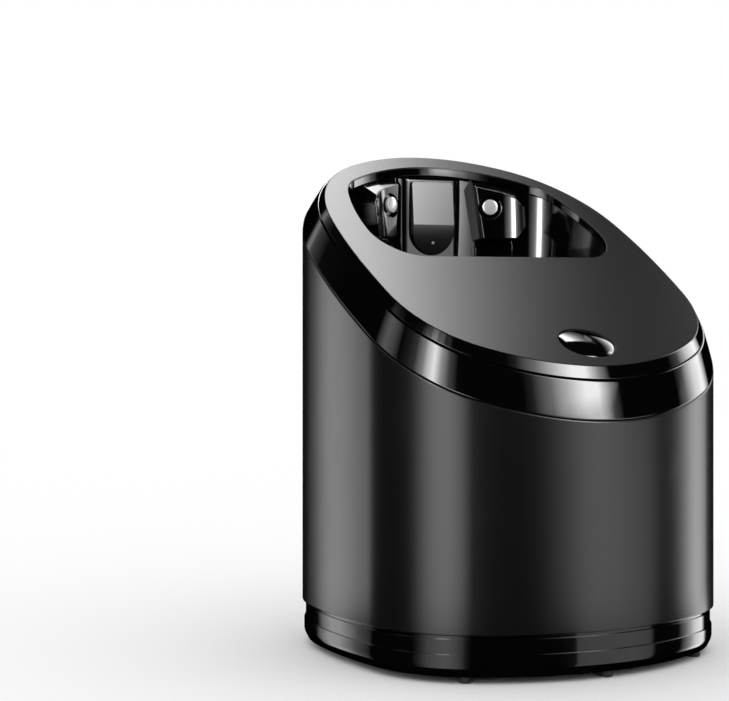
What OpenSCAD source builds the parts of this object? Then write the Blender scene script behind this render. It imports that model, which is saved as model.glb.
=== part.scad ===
// Cleaning station for an electric shaver.
// A round cartridge of cleaning fluid stands on the base tray. The housing slides over it on two
// guide rods and carries the well that takes the shaver's head, with the pump, the fan and the board.
// Millimetres. +Z is up, the start button faces -Y, and z = 0 is the ground under the feet.

/* [Body outline] */
// Overall width
body_w = 125.6; // [122:0.2:134]
// Overall depth, front to rear
body_d = 125; // [122:0.2:134]
// How far the widest line lies in front of the middle
wide_front = 0.4; // [0:0.1:2]
// Radius of the front arc of the outline
front_r = 85; // [78:1:100]
// Radius of the rear arc of the outline
rear_r = 82; // [78:1:100]
// Radius of the side arcs in front of the widest line
side_front_r = 195; // [150:5:260]
// Radius of the side arcs behind the widest line
side_rear_r = 137; // [110:1:200]
// Radius of the two front corner arcs
corner_front_r = 39; // [30:1:46]
// Radius of the two rear corner arcs
corner_rear_r = 47; // [36:1:52]

/* [Heights] */
// Height of the feet under the base
foot_h = 2; // [1.5:0.1:4]
// Height of the base wall, from its underside to its rim
base_h = 11.3; // [10:0.1:14]
// Open seam between the base rim and the housing
seam_h = 1.2; // [0.8:0.1:2]
// Height of the housing wall at the middle of its slanted edge
wall_h = 100.9; // [99:0.1:108]
// Upright height of the gloss trim band at the middle
trim_h = 10.6; // [8:0.1:13]
// Upright height of the cover's bevel at the middle
cover_h = 3.3; // [2.6:0.1:5]
// Tilt of the top, the trim band and the body's upper edge
top_tilt = 31.7; // [30:0.1:33]

/* [Shells] */
// Wall of the housing shell
shell_wall = 2.4; // [1.8:0.1:3]
// Wall of the trim band
trim_wall = 2.2; // [1.6:0.1:3]
// Wall of the top cover
cover_wall = 2.2; // [1.8:0.1:2.6]
// How far the trim band's upper edge is drawn in
trim_inset = 4; // [3:0.1:5]
// How far that edge is moved towards the front
trim_lean = 1.8; // [1:0.1:2.4]
// How far the rim of the top face is drawn in
cover_inset = 6.3; // [5.4:0.1:7]
// How far that rim is moved towards the front
cover_lean = 2.3; // [1.5:0.1:3]
// Chamfer round the rim of the top face
cover_chamfer = 0.7; // [0.4:0.1:1]
// Joint line between two shells
seam_gap = 0.25; // [0.15:0.05:0.4]

/* [Base] */
// How far the base wall is set back from the housing
base_inset = 0.6; // [0.3:0.1:1.2]
// How far the rim zone of the base is set back further
rim_inset = 0.5; // [0.3:0.1:1]
// Height of the rim zone
rim_h = 4.5; // [3:0.1:6]
// Width and height of the chamfer under the base
base_chamfer = 1.4; // [0.8:0.1:2]
// Floor of the base tray
base_floor = 3; // [2.4:0.1:4]
// Wall of the base tray
base_wall = 2; // [1.6:0.1:3]
// How far the tray's inner lip reaches up into the housing
lip_h = 4; // [2:0.5:5]
// Width of a foot
foot_w = 3.6; // [3:0.1:6]
// Length of a foot
foot_l = 9; // [6:0.5:12]

/* [Well] */
// Width of the top beside the opening for the shaver
well_beside = 16.5; // [15.8:0.1:18.8]
// Place of the opening's straight front edge
well_front = -4; // [-4.6:0.1:-1]
// Width of the top behind the opening
well_behind = 12.9; // [12.3:0.1:13.9]
// Radius of the opening's front corners
well_corner_r = 14; // [10:0.5:14.5]
// Radius of the opening's rear arc
well_rear_r = 72; // [66:1:90]
// Radius of the opening's side arcs
well_side_r = 60; // [54:1:80]
// Radius of the opening's rear corners
well_back_r = 17; // [14:0.5:20]
// Wall of the collar, the cradle and the dish
well_wall = 1.4; // [1.2:0.1:1.8]
// Thickness of the collar's flange under the cover
flange_t = 1; // [0.8:0.1:1.4]
// Width of that flange
flange_w = 1.9; // [1.2:0.1:1.9]
// Height at which the cradle ends and the dish begins
cradle_bottom = 96; // [92:0.5:100]
// Height of the dish floor
dish_floor = 70; // [69:0.5:74]
// Radius of the drain's bore
drain_r = 4; // [3:0.1:5]

/* [Contacts] */
// Sideways place of each contact pin
pin_x = 19.8; // [19:0.1:21]
// How far each contact pin's face lies in front of the opening's rear edge
pin_front = 9.4; // [8.8:0.1:10]
// Height of the contact pins
pin_z = 145; // [144:0.1:146]
// Angle by which each cheek turns inwards
cheek_turn = 23; // [20:0.5:26]
// Radius of a pin's head
pin_head_r = 2.7; // [2.2:0.1:3]
// Radius of a pin's shank
pin_shank_r = 1.2; // [1:0.05:1.5]
// Length of a pin's shank
pin_shank_l = 11; // [10.5:0.1:11.5]
// Travel of a pin
pin_travel = 1; // [0.6:0.1:1.2]
// Sideways reach of each cheek from its pin
cheek_end = 12; // [10:0.2:12.4]
// Width of the middle tower
tower_w = 27.6; // [24:0.2:28]
// Radius of the tower's upright edges
tower_round = 5; // [3:0.2:6]
// Width of the plate on the middle tower
plate_w = 16.6; // [14:0.2:17]
// Lower end of that plate
plate_bottom = 128; // [126:0.5:130]
// Height of the crease across that plate
plate_crease = 138.6; // [136:0.2:142]

/* [Start button] */
// Distance of the button's middle from the front rim of the top face
button_front = 12.6; // [12.2:0.1:16.2]
// Length of the button, side to side
button_w = 18.6; // [15:0.2:19]
// Width of the button, down the slope
button_l = 15.2; // [12:0.2:15.4]
// Height of the button's dome above the top face
button_rise = 1; // [0.6:0.1:1.6]
// Travel of the button
button_travel = 0.9; // [0.5:0.1:1]

/* [Cartridge] */
// Room between the cartridge and half the outline's depth
cartridge_room = 12.5; // [12.5:0.1:18.5]
// Height of the cartridge
cartridge_h = 45; // [40:0.5:46]
// How far the cartridge's middle lies in front of the station's
cartridge_front = 6.4; // [5:0.1:7]
// Wall of the cartridge
cartridge_wall = 1.4; // [1:0.1:2]

/* [Lift] */
// How far the guide rods stand in from the side
rod_beside = 17.4; // [17:0.1:17.8]
// How far the guide rods stand in from the rear
rod_behind = 26.9; // [26.5:0.1:27.3]
// Radius of a guide rod
rod_r = 2.5; // [2:0.1:2.6]
// How far the housing lifts off the base
lift_travel = 48; // [30:1:49]
// How much of the rods stays in the sleeves when it is lifted
rod_engage = 10; // [6:0.5:11]
// Room between the cartridge and the chassis plate over it
chassis_room = 3.7; // [2.7:0.2:4.7]
// Thickness of the chassis plate
chassis_t = 3; // [2.4:0.1:3.4]
// Width of the lift button
lift_button_w = 18; // [14:0.5:20]
// Height of the lift button
lift_button_h = 9; // [7:0.5:10]
// Height of the lift button's middle over the chassis plate
lift_button_rise = 6.4; // [5.6:0.2:7]
// Travel of the lift button
lift_button_travel = 2.5; // [1.5:0.1:2.8]

/* [Pump and fan] */
// Room between the filter cup, which hangs under the pump, and the cartridge's wall
filter_room = 5.8; // [5.4:0.1:7]
// Angle of the pump and the fan about the cartridge's middle, from the sides to the front
drive_turn = 39.7; // [38:0.1:41]
// Radius of the pump rotor
impeller_r = 8.5; // [6:0.5:9]
// Radius of the fan rotor
fan_r = 13; // [11:0.5:13.5]
// Radius of the two rotor shafts
shaft_r = 1; // [0.8:0.05:1.2]
// Radius of the bore in the suction and delivery tubes
tube_bore_r = 1.4; // [1:0.1:1.6]

/* [Hidden] */

$fn = 48;
steps = 96;             // points round the outline
fit_gap = 0.05;         // radial clearance of a running fit
free_gap = 0.3;         // clearance between parts that stay apart
cut = 1;                // overrun of a cutting shape
black = [0.03, 0.03, 0.035];
dark = [0.13, 0.13, 0.135];
grey = [0.42, 0.42, 0.44];
steel = [0.75, 0.76, 0.78];

slope = tan(top_tilt);
base_top = foot_h + base_h;
shell_z = base_top + seam_h;
edge_h = shell_z + wall_h;          // the slanted edge of the housing wall, at the middle
trim_top = edge_h + trim_h;
top_h = trim_top + cover_h;         // the top face, at the middle
floor_z = foot_h + base_floor;
well_w = body_w - 2 * well_beside;
well_rear = body_d / 2 - well_behind;
pin_y = well_rear - pin_front;
button_slope = (body_d / 2 - cover_inset + cover_lean) / cos(top_tilt) - button_front;
rod_x = body_w / 2 - rod_beside;
rod_y = body_d / 2 - rod_behind;
cartridge_r = body_d / 2 - cartridge_room;
cartridge_at = [0, -cartridge_front];
filter_r = 9;
drive_reach = cartridge_r - cartridge_wall - filter_r - filter_room;
pump_at = cartridge_at + drive_reach * [-cos(drive_turn), -sin(drive_turn)];
fan_at = [-pump_at.x, pump_at.y];
cartridge_z = floor_z + free_gap;
cartridge_top = cartridge_z + cartridge_h;
chassis_z = cartridge_top + chassis_room;
chassis_top = chassis_z + chassis_t;
lift_button_z = chassis_top + lift_button_rise;

// ---------- outlines ----------

// One quarter of an outline: an end arc, a corner arc and a side arc, each tangent to the next.
// Returns the centres of the end, corner and side arcs with their radii.
function quarter(x, y, r_end, r_side, r_corner) =
    let (
        end_c = [0, y - r_end],
        side_c = [x - r_side, 0],
        span = norm(side_c - end_c),
        u = (side_c - end_c) / span,
        a = r_end - r_corner,
        b = r_side - r_corner,
        along = (a * a - b * b + span * span) / (2 * span),
        off = sqrt(max(0, a * a - along * along))
    )
    [end_c, end_c + along * u + off * [u.y, -u.x], side_c, r_end, r_corner, r_side];

// Point of a quarter whose normal stands at angle a from the end axis, drawn in by inset
function quarter_point(q, a, inset) =
    let (
        n = [sin(a), cos(a)],
        to_corner_e = q[1] - q[0],
        to_corner_s = q[1] - q[2],
        a_end = atan2(to_corner_e.x, to_corner_e.y),
        a_side = atan2(to_corner_s.x, to_corner_s.y)
    )
    a < a_end ? q[0] + (q[3] - inset) * n
    : a < a_side ? q[1] + (q[4] - inset) * n
    : q[2] + (q[5] - inset) * n;

front_quarter = quarter(body_w / 2, body_d / 2 - wide_front, front_r, side_front_r, corner_front_r);
rear_quarter = quarter(body_w / 2, body_d / 2 + wide_front, rear_r, side_rear_r, corner_rear_r);

// The station's outline seen from above, drawn in by inset and moved to the front by lean
function section(inset, lean = 0) = [
    for (i = [0:steps - 1])
        let (
            t = 360 * i / steps,
            at_front = t < 90 || t > 270,
            a = at_front ? min(t, 360 - t) : abs(180 - t),
            p = quarter_point(at_front ? front_quarter : rear_quarter, a, inset)
        )
        [(t < 180 ? 1 : -1) * p.x, (at_front ? -1 : 1) * p.y - wide_front - lean]
];

well_wide_y = well_front + well_corner_r + 0.2;
well_quarter = quarter(well_w / 2, well_rear - well_wide_y, well_rear_r, well_side_r, well_back_r);

// Right half of the well's outline, from the front edge to the rear, let out by grow
function well_half(grow) = concat(
    [for (a = [0:10:90])
        [well_w / 2 - well_corner_r, well_front + well_corner_r]
        + (well_corner_r + grow) * [sin(a), -cos(a)]],
    [for (a = [90:-6:0]) quarter_point(well_quarter, a, -grow) + [0, well_wide_y]]
);

// The whole outline of the well
function well(grow) =
    let (right = well_half(grow), n = len(right))
    concat(right, [for (i = [n - 2:-1:0]) [-right[i].x, right[i].y]]);

// Outline points set at one height, or on a plane parallel to the top face
function level(points, z) = [for (p = points) [p.x, p.y, z]];
function tilted(points, h) = [for (p = points) [p.x, p.y, h + slope * p.y]];

// Outline points drawn together about a centre
function drawn(points, centre, share) = [for (p = points) centre + share * (p - centre)];

// A closed solid through rings of equally many points, from the lowest ring to the highest
module loft(rings) {
    n = len(rings[0]);
    m = len(rings);
    polyhedron(
        points = [for (ring = rings) each ring],
        faces = concat(
            [[for (j = [0:n - 1]) j]],
            [[for (j = [n - 1:-1:0]) (m - 1) * n + j]],
            [for (i = [0:m - 2], j = [0:n - 1])
                [i * n + j, (i + 1) * n + j, (i + 1) * n + (j + 1) % n]],
            [for (i = [0:m - 2], j = [0:n - 1])
                [i * n + j, (i + 1) * n + (j + 1) % n, i * n + (j + 1) % n]]
        )
    );
}

// A straight wall of the station's outline
module prism(inset, z_low, z_high) {
    translate([0, 0, z_low])
        linear_extrude(z_high - z_low)
            polygon(section(inset));
}

// Coordinates on a plane parallel to the top face: y runs up the slope, z stands off the face
module on_slope(h) {
    translate([0, 0, h])
        rotate([top_tilt, 0, 0])
            children();
}

// Everything above a plane parallel to the top face
module above_slope(h) {
    on_slope(h)
        translate([-body_w, -2 * body_d, 0])
            cube([2 * body_w, 4 * body_d, 2 * body_d]);
}

module ellipse(w, l) {
    polygon([for (i = [0:47]) [w / 2 * cos(i * 7.5), l / 2 * sin(i * 7.5)]]);
}

module slot_shape(w, h) {
    square([w - h, h], center = true);
    for (s = [-1, 1])
        translate([s * (w - h) / 2, 0])
            circle(h / 2);
}

module tube(r_out, r_in, h) {
    difference() {
        cylinder(r = r_out, h = h);
        translate([0, 0, -cut])
            cylinder(r = r_in, h = h + 2 * cut);
    }
}

module both_sides() {
    children();
    mirror([1, 0, 0])
        children();
}

// ---------- base ----------

lip_inset = shell_wall + 2 * free_gap;
tray_inset = lip_inset + base_wall;
upstand_inset = base_inset + rim_inset + 0.5;
foot_angles = [0, 34, 146, 180, 214, 326];
screw_r = 1.5;
screw_head_r = 2.8;
screw_head_h = 1.6;
base_screw_x = body_w / 2 - 22.8;
base_screw_y = body_d / 2 - 16.5;
base_screw_at = [
    [base_screw_x, -30], [-base_screw_x, -30], [24, base_screw_y], [-24, base_screw_y]
];
boss_r = 4.2;

// Places of the feet, turned so that local y points inwards
module at_feet() {
    for (t = foot_angles) {
        i = round(t * steps / 360);
        p = section(base_inset + base_chamfer + foot_l / 2 + 0.6)[i];
        translate([p.x, p.y, 0])
            rotate([0, 0, t])
                children();
    }
}

module base_tray() {
    color(black)
        difference() {
            union() {
                loft([
                    level(section(base_inset + base_chamfer), foot_h),
                    level(section(base_inset), foot_h + 2 * base_chamfer)
                ]);
                prism(base_inset, foot_h + 2 * base_chamfer, base_top - rim_h);
                prism(base_inset + rim_inset, base_top - rim_h, base_top);
                prism(upstand_inset, base_top, shell_z - free_gap);
                prism(lip_inset, shell_z - free_gap, shell_z + lip_h);
            }
            difference() {
                prism(tray_inset, floor_z, shell_z + lip_h + cut);
                for (s = [-1, 1])
                    translate([s * rod_x, rod_y, 0])
                        cylinder(r = boss_r, h = shell_z + lip_h);
                translate([0, 0, floor_z])
                    for (s = [-1, 1])
                        translate([s * post_x - post_w / 2 - 1.6, post_y - 1.6, -cut])
                            cube([post_w + 3.2, body_d, 6 + cut]);
                translate([cartridge_at.x, cartridge_at.y, 0])
                    tube(cartridge_r + 2, cartridge_r + 2 * free_gap, floor_z + 3);
            }
            for (s = [-1, 1]) {
                translate([s * rod_x, rod_y, floor_z])
                    cylinder(r = rod_r + fit_gap, h = 2 * body_d);
                translate([s * post_x - post_w / 2 - fit_gap, post_y - fit_gap, floor_z])
                    cube([post_w + 2 * fit_gap, post_d + 2 * fit_gap, body_d]);
            }
            for (p = base_screw_at)
                translate([p.x, p.y, 0]) {
                    cylinder(r = screw_r + fit_gap, h = 2 * floor_z);
                    translate([0, 0, foot_h - cut])
                        cylinder(r = screw_head_r + free_gap, h = screw_head_h + cut);
                }
        }
}

module feet() {
    color(dark)
        at_feet()
            linear_extrude(foot_h)
                hull() {
                    for (s = [-1, 1])
                        translate([0, s * (foot_l - foot_w) / 2])
                            circle(foot_w / 2, $fn = 24);
                }
}

// Screws that close the tray's ballast pockets from below
module base_screws() {
    color(steel)
        for (p = base_screw_at)
            translate([p.x, p.y, foot_h]) {
                difference() {
                    cylinder(r = screw_head_r, h = screw_head_h);
                    translate([0, 0, -cut])
                        cylinder(r = 1.2, h = cut + 0.8, $fn = 6);
                }
                translate([0, 0, screw_head_h])
                    cylinder(r = screw_r, h = base_floor - screw_head_h);
            }
}

// ---------- cartridge ----------

lid_t = 1.6;
drain_at = [0, (well_front + well_rear) / 2 - 2];
drain_outer_r = drain_r + well_wall;
spout_end = cartridge_top - 6;
tube_r = tube_bore_r + 1.1;

module cartridge_tub() {
    color([0.75, 0.77, 0.78])
        translate([cartridge_at.x, cartridge_at.y, cartridge_z])
            difference() {
                cylinder(r = cartridge_r, h = cartridge_h - lid_t - free_gap, $fn = 96);
                translate([0, 0, cartridge_wall])
                    cylinder(r = cartridge_r - cartridge_wall, h = cartridge_h, $fn = 96);
            }
}

module cartridge_lid() {
    color([0.2, 0.35, 0.55])
        difference() {
            translate([cartridge_at.x, cartridge_at.y, cartridge_top - lid_t])
                cylinder(r = cartridge_r, h = lid_t, $fn = 96);
            translate([drain_at.x, drain_at.y, 0])
                cylinder(r = drain_outer_r + 2 * free_gap, h = body_d);
            translate([pump_at.x, pump_at.y, 0])
                cylinder(r = tube_r + 2 * free_gap, h = body_d);
        }
}

// The filter cup hangs under the lid round the suction tube
module cartridge_filter() {
    color([0.9, 0.9, 0.88])
        translate([pump_at.x, pump_at.y, cartridge_z + cartridge_wall + free_gap])
            difference() {
                cylinder(r = filter_r, h = cartridge_h - lid_t - cartridge_wall - 2 * free_gap);
                translate([0, 0, 2])
                    cylinder(r = filter_r - 2, h = cartridge_h);
            }
}

// ---------- lift ----------

sleeve_r = rod_r + 1.4;
rod_top = chassis_z + lift_travel + rod_engage;
sleeve_top = rod_top + 2;
spring_wire = 0.9;
spring_r = rod_r + 0.4 + spring_wire / 2;
spring_turns = 9;
spring_low = shell_z + lip_h + free_gap;
spring_high = chassis_z - free_gap;
post_w = 4.6;
post_x = 16;
post_y = body_d / 2 - 10.5;
post_d = 4;
post_top = lift_button_z + lift_button_h / 2;
bar_t = 3;
bar_h = 5;

module guide_rods() {
    color(steel)
        for (s = [-1, 1])
            translate([s * rod_x, rod_y, floor_z])
                cylinder(r = rod_r, h = rod_top - floor_z);
}

// One coil of round wire as a swept tube of six sides
module coil(r, wire, turns, z_low, z_high) {
    per_turn = 16;
    sides = 6;
    count = turns * per_turn + 1;
    rise = (z_high - z_low - wire) / (turns * per_turn);
    rings = [for (i = [0:count - 1])
        let (t = 360 * i / per_turn)
        [for (k = [0:sides - 1])
            let (w = 360 * k / sides, d = r + wire / 2 * cos(w))
            [d * cos(t), d * sin(t), z_low + wire / 2 + rise * i + wire / 2 * sin(w)]]];
    polyhedron(
        points = [for (ring = rings) each ring],
        faces = concat(
            [[for (k = [0:sides - 1]) k]],
            [[for (k = [sides - 1:-1:0]) (count - 1) * sides + k]],
            [for (i = [0:count - 2], k = [0:sides - 1])
                [i * sides + k, (i + 1) * sides + k, (i + 1) * sides + (k + 1) % sides]],
            [for (i = [0:count - 2], k = [0:sides - 1])
                [i * sides + k, (i + 1) * sides + (k + 1) % sides, i * sides + (k + 1) % sides]]
        )
    );
}

module lift_springs() {
    color(steel)
        for (s = [-1, 1])
            translate([s * rod_x, rod_y, 0])
                coil(spring_r, spring_wire, spring_turns, spring_low, spring_high);
}

// Two posts on the base that the latch bar holds
module catch_posts() {
    color(dark)
        for (s = [-1, 1])
            translate([s * post_x - post_w / 2, post_y, floor_z])
                difference() {
                    cube([post_w, post_d, post_top - floor_z]);
                    translate([-cut, -cut, lift_button_z - bar_h / 2 - free_gap - floor_z])
                        cube([post_w + 2 * cut, cut + 0.25, bar_h + 2 * free_gap]);
                }
}

bar_y = post_y - free_gap - bar_t;
button_back = body_d / 2 - shell_wall - 2;

// The cap in the rear wall, whose outer face follows the wall
module lift_button() {
    color(dark)
        intersection() {
            prism(free_gap, lift_button_z - lift_button_h / 2, lift_button_z + lift_button_h / 2);
            union() {
                translate([0, body_d / 2, lift_button_z])
                    rotate([90, 0, 0])
                        linear_extrude(body_d / 2 - button_back)
                            slot_shape(lift_button_w, lift_button_h);
                translate([-4, bar_y + bar_t + fit_gap, lift_button_z - 2])
                    cube([8, button_back - bar_y - bar_t, 4]);
            }
        }
}

// The bar behind the cap, which lies in front of the two catch posts
module latch_bar() {
    color(grey)
        difference() {
            translate([-post_x - post_w / 2 - 1, bar_y, lift_button_z - bar_h / 2])
                cube([2 * post_x + post_w + 2, bar_t, bar_h]);
            translate([0, bar_y - cut, lift_button_z])
                rotate([-90, 0, 0])
                    cylinder(r = 1, h = bar_t + 2 * cut);
        }
}

latch_spring_l = lift_button_travel + 3;

module latch_spring() {
    color(steel)
        translate([0, bar_y - free_gap, lift_button_z])
            rotate([90, 0, 0])
                tube(2.2, 1.4, latch_spring_l);
}

// Bracket on the chassis that the latch spring pushes against
module rear_bracket() {
    color(dark)
        translate([-6, bar_y - latch_spring_l - 2 * free_gap - 2, chassis_top])
            difference() {
                cube([12, 2, lift_button_z + 4 - chassis_top]);
                translate([6, -cut, lift_button_z - chassis_top])
                    rotate([-90, 0, 0])
                        cylinder(r = 1, h = 2 + 2 * cut);
            }
}

// ---------- housing ----------

inlet_z = 27;
inlet_w = 13;
inlet_h = 6.6;
inlet_wall = 1.8;
inlet_depth = 8.5;
inlet_pin_x = 3.6;
side_boss_x = body_w / 2 - 10.8;
side_boss_y = body_d / 2 - 13.1;
side_boss_at = [[side_boss_x, -24], [-side_boss_x, -24], [30, side_boss_y], [-30, side_boss_y]];
side_boss_r = 3.6;
side_boss_h = 12;

module housing_shell() {
    color(dark)
        difference() {
            union() {
                difference() {
                    prism(0, shell_z, top_h + body_d / 2);
                    prism(shell_wall, shell_z - cut, top_h + body_d);
                }
                intersection() {
                    prism(shell_wall / 2, chassis_top + fit_gap, chassis_top + side_boss_h);
                    for (p = side_boss_at)
                        translate([p.x, p.y, chassis_top + fit_gap]) {
                            cylinder(r = side_boss_r, h = side_boss_h);
                            rotate([0, 0, atan2(p.y, p.x)])
                                translate([0, -1, 0])
                                    cube([12, 2, side_boss_h]);
                        }
                }
            }
            above_slope(edge_h);
            for (p = side_boss_at)
                translate([p.x, p.y, chassis_z])
                    cylinder(r = screw_r + fit_gap, h = side_boss_h);
            translate([0, body_d, lift_button_z])
                rotate([90, 0, 0])
                    linear_extrude(body_d)
                        slot_shape(lift_button_w + 2 * free_gap, lift_button_h + 2 * free_gap);
            translate([0, body_d, inlet_z])
                rotate([90, 0, 0])
                    linear_extrude(body_d)
                        slot_shape(inlet_w + 2 * inlet_wall, inlet_h + 2 * inlet_wall);
        }
}

module trim_ring() {
    color(black)
        difference() {
            loft([
                tilted(section(0), edge_h + seam_gap),
                tilted(section(trim_inset, trim_lean), trim_top)
            ]);
            loft([
                tilted(section(trim_wall), edge_h - cut),
                tilted(section(trim_wall), edge_h + seam_gap),
                tilted(section(trim_inset + trim_wall, trim_lean), trim_top),
                tilted(section(trim_inset + trim_wall, trim_lean), trim_top + cut)
            ]);
        }
}

// ---------- top cover ----------

plate_t = cover_wall / cos(top_tilt);
bezel_w = 1.2;
board_drop = 8.4;
board_t = 1.6;
board_w = 46;
board_l = 27.2;
board_low = -button_slope - 3.6;
board_high = board_low + board_l;
board_post_r = 2.6;
board_screw_low = [board_w / 2 - 5.5, board_low + 6.7];
board_screw_high = [board_w / 2 - 3, board_high - 3];
board_screw_at = [
    for (p = [board_screw_low, board_screw_high], s = [-1, 1]) [s * p.x, p.y]
];

module cover_hollow() {
    loft([
        tilted(section(trim_inset + cover_wall, trim_lean), trim_top - cut),
        tilted(section(trim_inset + cover_wall, trim_lean), trim_top + seam_gap),
        tilted(section(cover_inset + cover_wall, cover_lean), top_h - plate_t)
    ]);
}

module top_cover() {
    color(dark)
        difference() {
            union() {
                difference() {
                    loft([
                        tilted(section(trim_inset, trim_lean), trim_top + seam_gap),
                        tilted(section(cover_inset - cover_chamfer, cover_lean), top_h - cover_chamfer),
                        tilted(section(cover_inset, cover_lean), top_h)
                    ]);
                    cover_hollow();
                }
                on_slope(top_h)
                    for (p = board_screw_at)
                        translate([p.x, p.y, -board_drop])
                            cylinder(r = board_post_r, h = board_drop - cover_wall / 2);
            }
            loft([
                level(well(0), edge_h - body_d / 2),
                level(well(0), top_h + body_d)
            ]);
            on_slope(top_h) {
                translate([0, -button_slope, -board_drop - cut])
                    linear_extrude(board_drop + 2 * cut)
                        ellipse(button_w + 2 * bezel_w, button_l + 2 * bezel_w);
                for (p = board_screw_at)
                    translate([p.x, p.y, -board_drop - cut])
                        cylinder(r = 1 + fit_gap, h = board_drop - cover_wall + cut - 0.6);
            }
        }
}

// Gloss lip that lines the cover's opening, with a flange under the cover
module well_collar() {
    collar_low = cradle_top + free_gap;
    rim_drop = 0.4;
    color(black)
        difference() {
            loft([
                tilted(well(flange_w - free_gap), collar_low),
                tilted(well(flange_w - free_gap), collar_low + flange_t),
                tilted(well(-free_gap), collar_low + flange_t),
                tilted(well(-free_gap), top_h - rim_drop)
            ]);
            loft([
                tilted(well(-free_gap - well_wall), collar_low - cut),
                tilted(well(-free_gap - well_wall), top_h + cut)
            ]);
        }
}

// ---------- cradle ----------

cradle_top = top_h - plate_t - flange_t - 2 * free_gap;
cradle_grow = 1.2;
cradle_draw = 3;
tower_front = pin_y + 7;
groove_w = 1.4;
cheek_bottom = pin_z - 11;
recess_r = 4;
recess_d = 1.5;

// Coordinates on the right cheek's face: x to the right along it, z back into it
module on_cheek() {
    translate([pin_x, pin_y, pin_z])
        rotate([0, 0, -cheek_turn])
            rotate([-90, 0, 0])
                children();
}

function on_face(s, back) = [
    pin_x + s * cos(cheek_turn) + back * sin(cheek_turn),
    pin_y - s * sin(cheek_turn) + back * cos(cheek_turn)
];

cheek_start = (tower_w / 2 + groove_w - pin_x) / cos(cheek_turn);

module cheek_plan(setback) {
    back = body_d / 2;
    polygon([
        on_face(cheek_start, setback),
        on_face(cheek_end - 1.5, setback),
        on_face(cheek_end, setback + 1.5),
        [on_face(cheek_end, 0).x + 3, back],
        [tower_w / 2 + groove_w, back]
    ]);
}

// The tower seen from above, with its upright edges rounded
module tower_plan() {
    translate([-tower_w / 2, tower_front + tower_round])
        square([tower_w, body_d]);
    translate([tower_round - tower_w / 2, tower_front])
        square([tower_w - 2 * tower_round, tower_round + cut]);
    for (s = [-1, 1])
        translate([s * (tower_w / 2 - tower_round), tower_front + tower_round])
            circle(tower_round);
}

module cradle() {
    color(black)
        difference() {
            union() {
                difference() {
                    loft([
                        level(well(well_wall - cradle_draw), cradle_bottom),
                        tilted(well(cradle_grow + well_wall), cradle_top)
                    ]);
                    loft([
                        level(well(-cradle_draw), cradle_bottom - cut),
                        level(well(-cradle_draw), cradle_bottom),
                        tilted(well(cradle_grow), cradle_top),
                        tilted(well(cradle_grow), cradle_top + cut)
                    ]);
                }
                intersection() {
                    loft([
                        level(well(well_wall / 2 - cradle_draw), cradle_bottom),
                        tilted(well(cradle_grow + well_wall / 2), cradle_top)
                    ]);
                    union() {
                        both_sides()
                            translate([0, 0, cheek_bottom])
                                linear_extrude(body_d)
                                    cheek_plan(0);
                        both_sides()
                            translate([0, 0, cradle_bottom])
                                linear_extrude(cheek_bottom - cradle_bottom)
                                    cheek_plan(2.5);
                        translate([0, 0, cradle_bottom])
                            linear_extrude(body_d)
                                tower_plan();
                    }
                }
            }
            both_sides()
                on_cheek() {
                    cylinder(r = pin_shank_r + fit_gap, h = body_d);
                    translate([0, 0, -cut])
                        cylinder(r = recess_r, h = recess_d + cut);
                }
        }
}

plate_depth = 1;
dot_r = 0.7;
dot_z = plate_bottom + 4.4;

// The plate on the tower: upright below the crease, leaning back above it
module tower_plate() {
    low_r = plate_w / 2;
    plate_top = cradle_top + slope * tower_front - 0.4;
    color(grey)
        difference() {
            intersection() {
                translate([0, tower_front - free_gap / 3, 0])
                    rotate([90, 0, 0])
                        linear_extrude(plate_depth) {
                            translate([-low_r, plate_bottom + low_r])
                                square([2 * low_r, plate_top - plate_bottom - low_r]);
                            translate([0, plate_bottom + low_r])
                                circle(low_r);
                        }
                translate([-plate_w, 0, 0])
                    rotate([90, 0, 90])
                        linear_extrude(2 * plate_w)
                            polygon([
                                [tower_front - plate_depth - free_gap, plate_bottom - cut],
                                [tower_front - plate_depth - free_gap, plate_crease],
                                [tower_front - plate_depth / 2, plate_top + cut],
                                [tower_front + cut, plate_top + cut],
                                [tower_front + cut, plate_bottom - cut]
                            ]);
            }
            translate([0, tower_front + cut, dot_z])
                rotate([90, 0, 0])
                    cylinder(r = dot_r + fit_gap, h = plate_depth + 2 * cut);
        }
}

module sensor_dot() {
    color([0.7, 0.7, 0.72])
        translate([0, tower_front - 0.1, dot_z])
            rotate([90, 0, 0])
                cylinder(r = dot_r, h = plate_depth + 0.1);
}

// Share of the dish's width kept at each height above its floor
dish_round = 15;
dish_steps = [[0.66, 0], [0.8, dish_round / 6], [0.91, dish_round / 2], [0.97, dish_round]];

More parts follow.
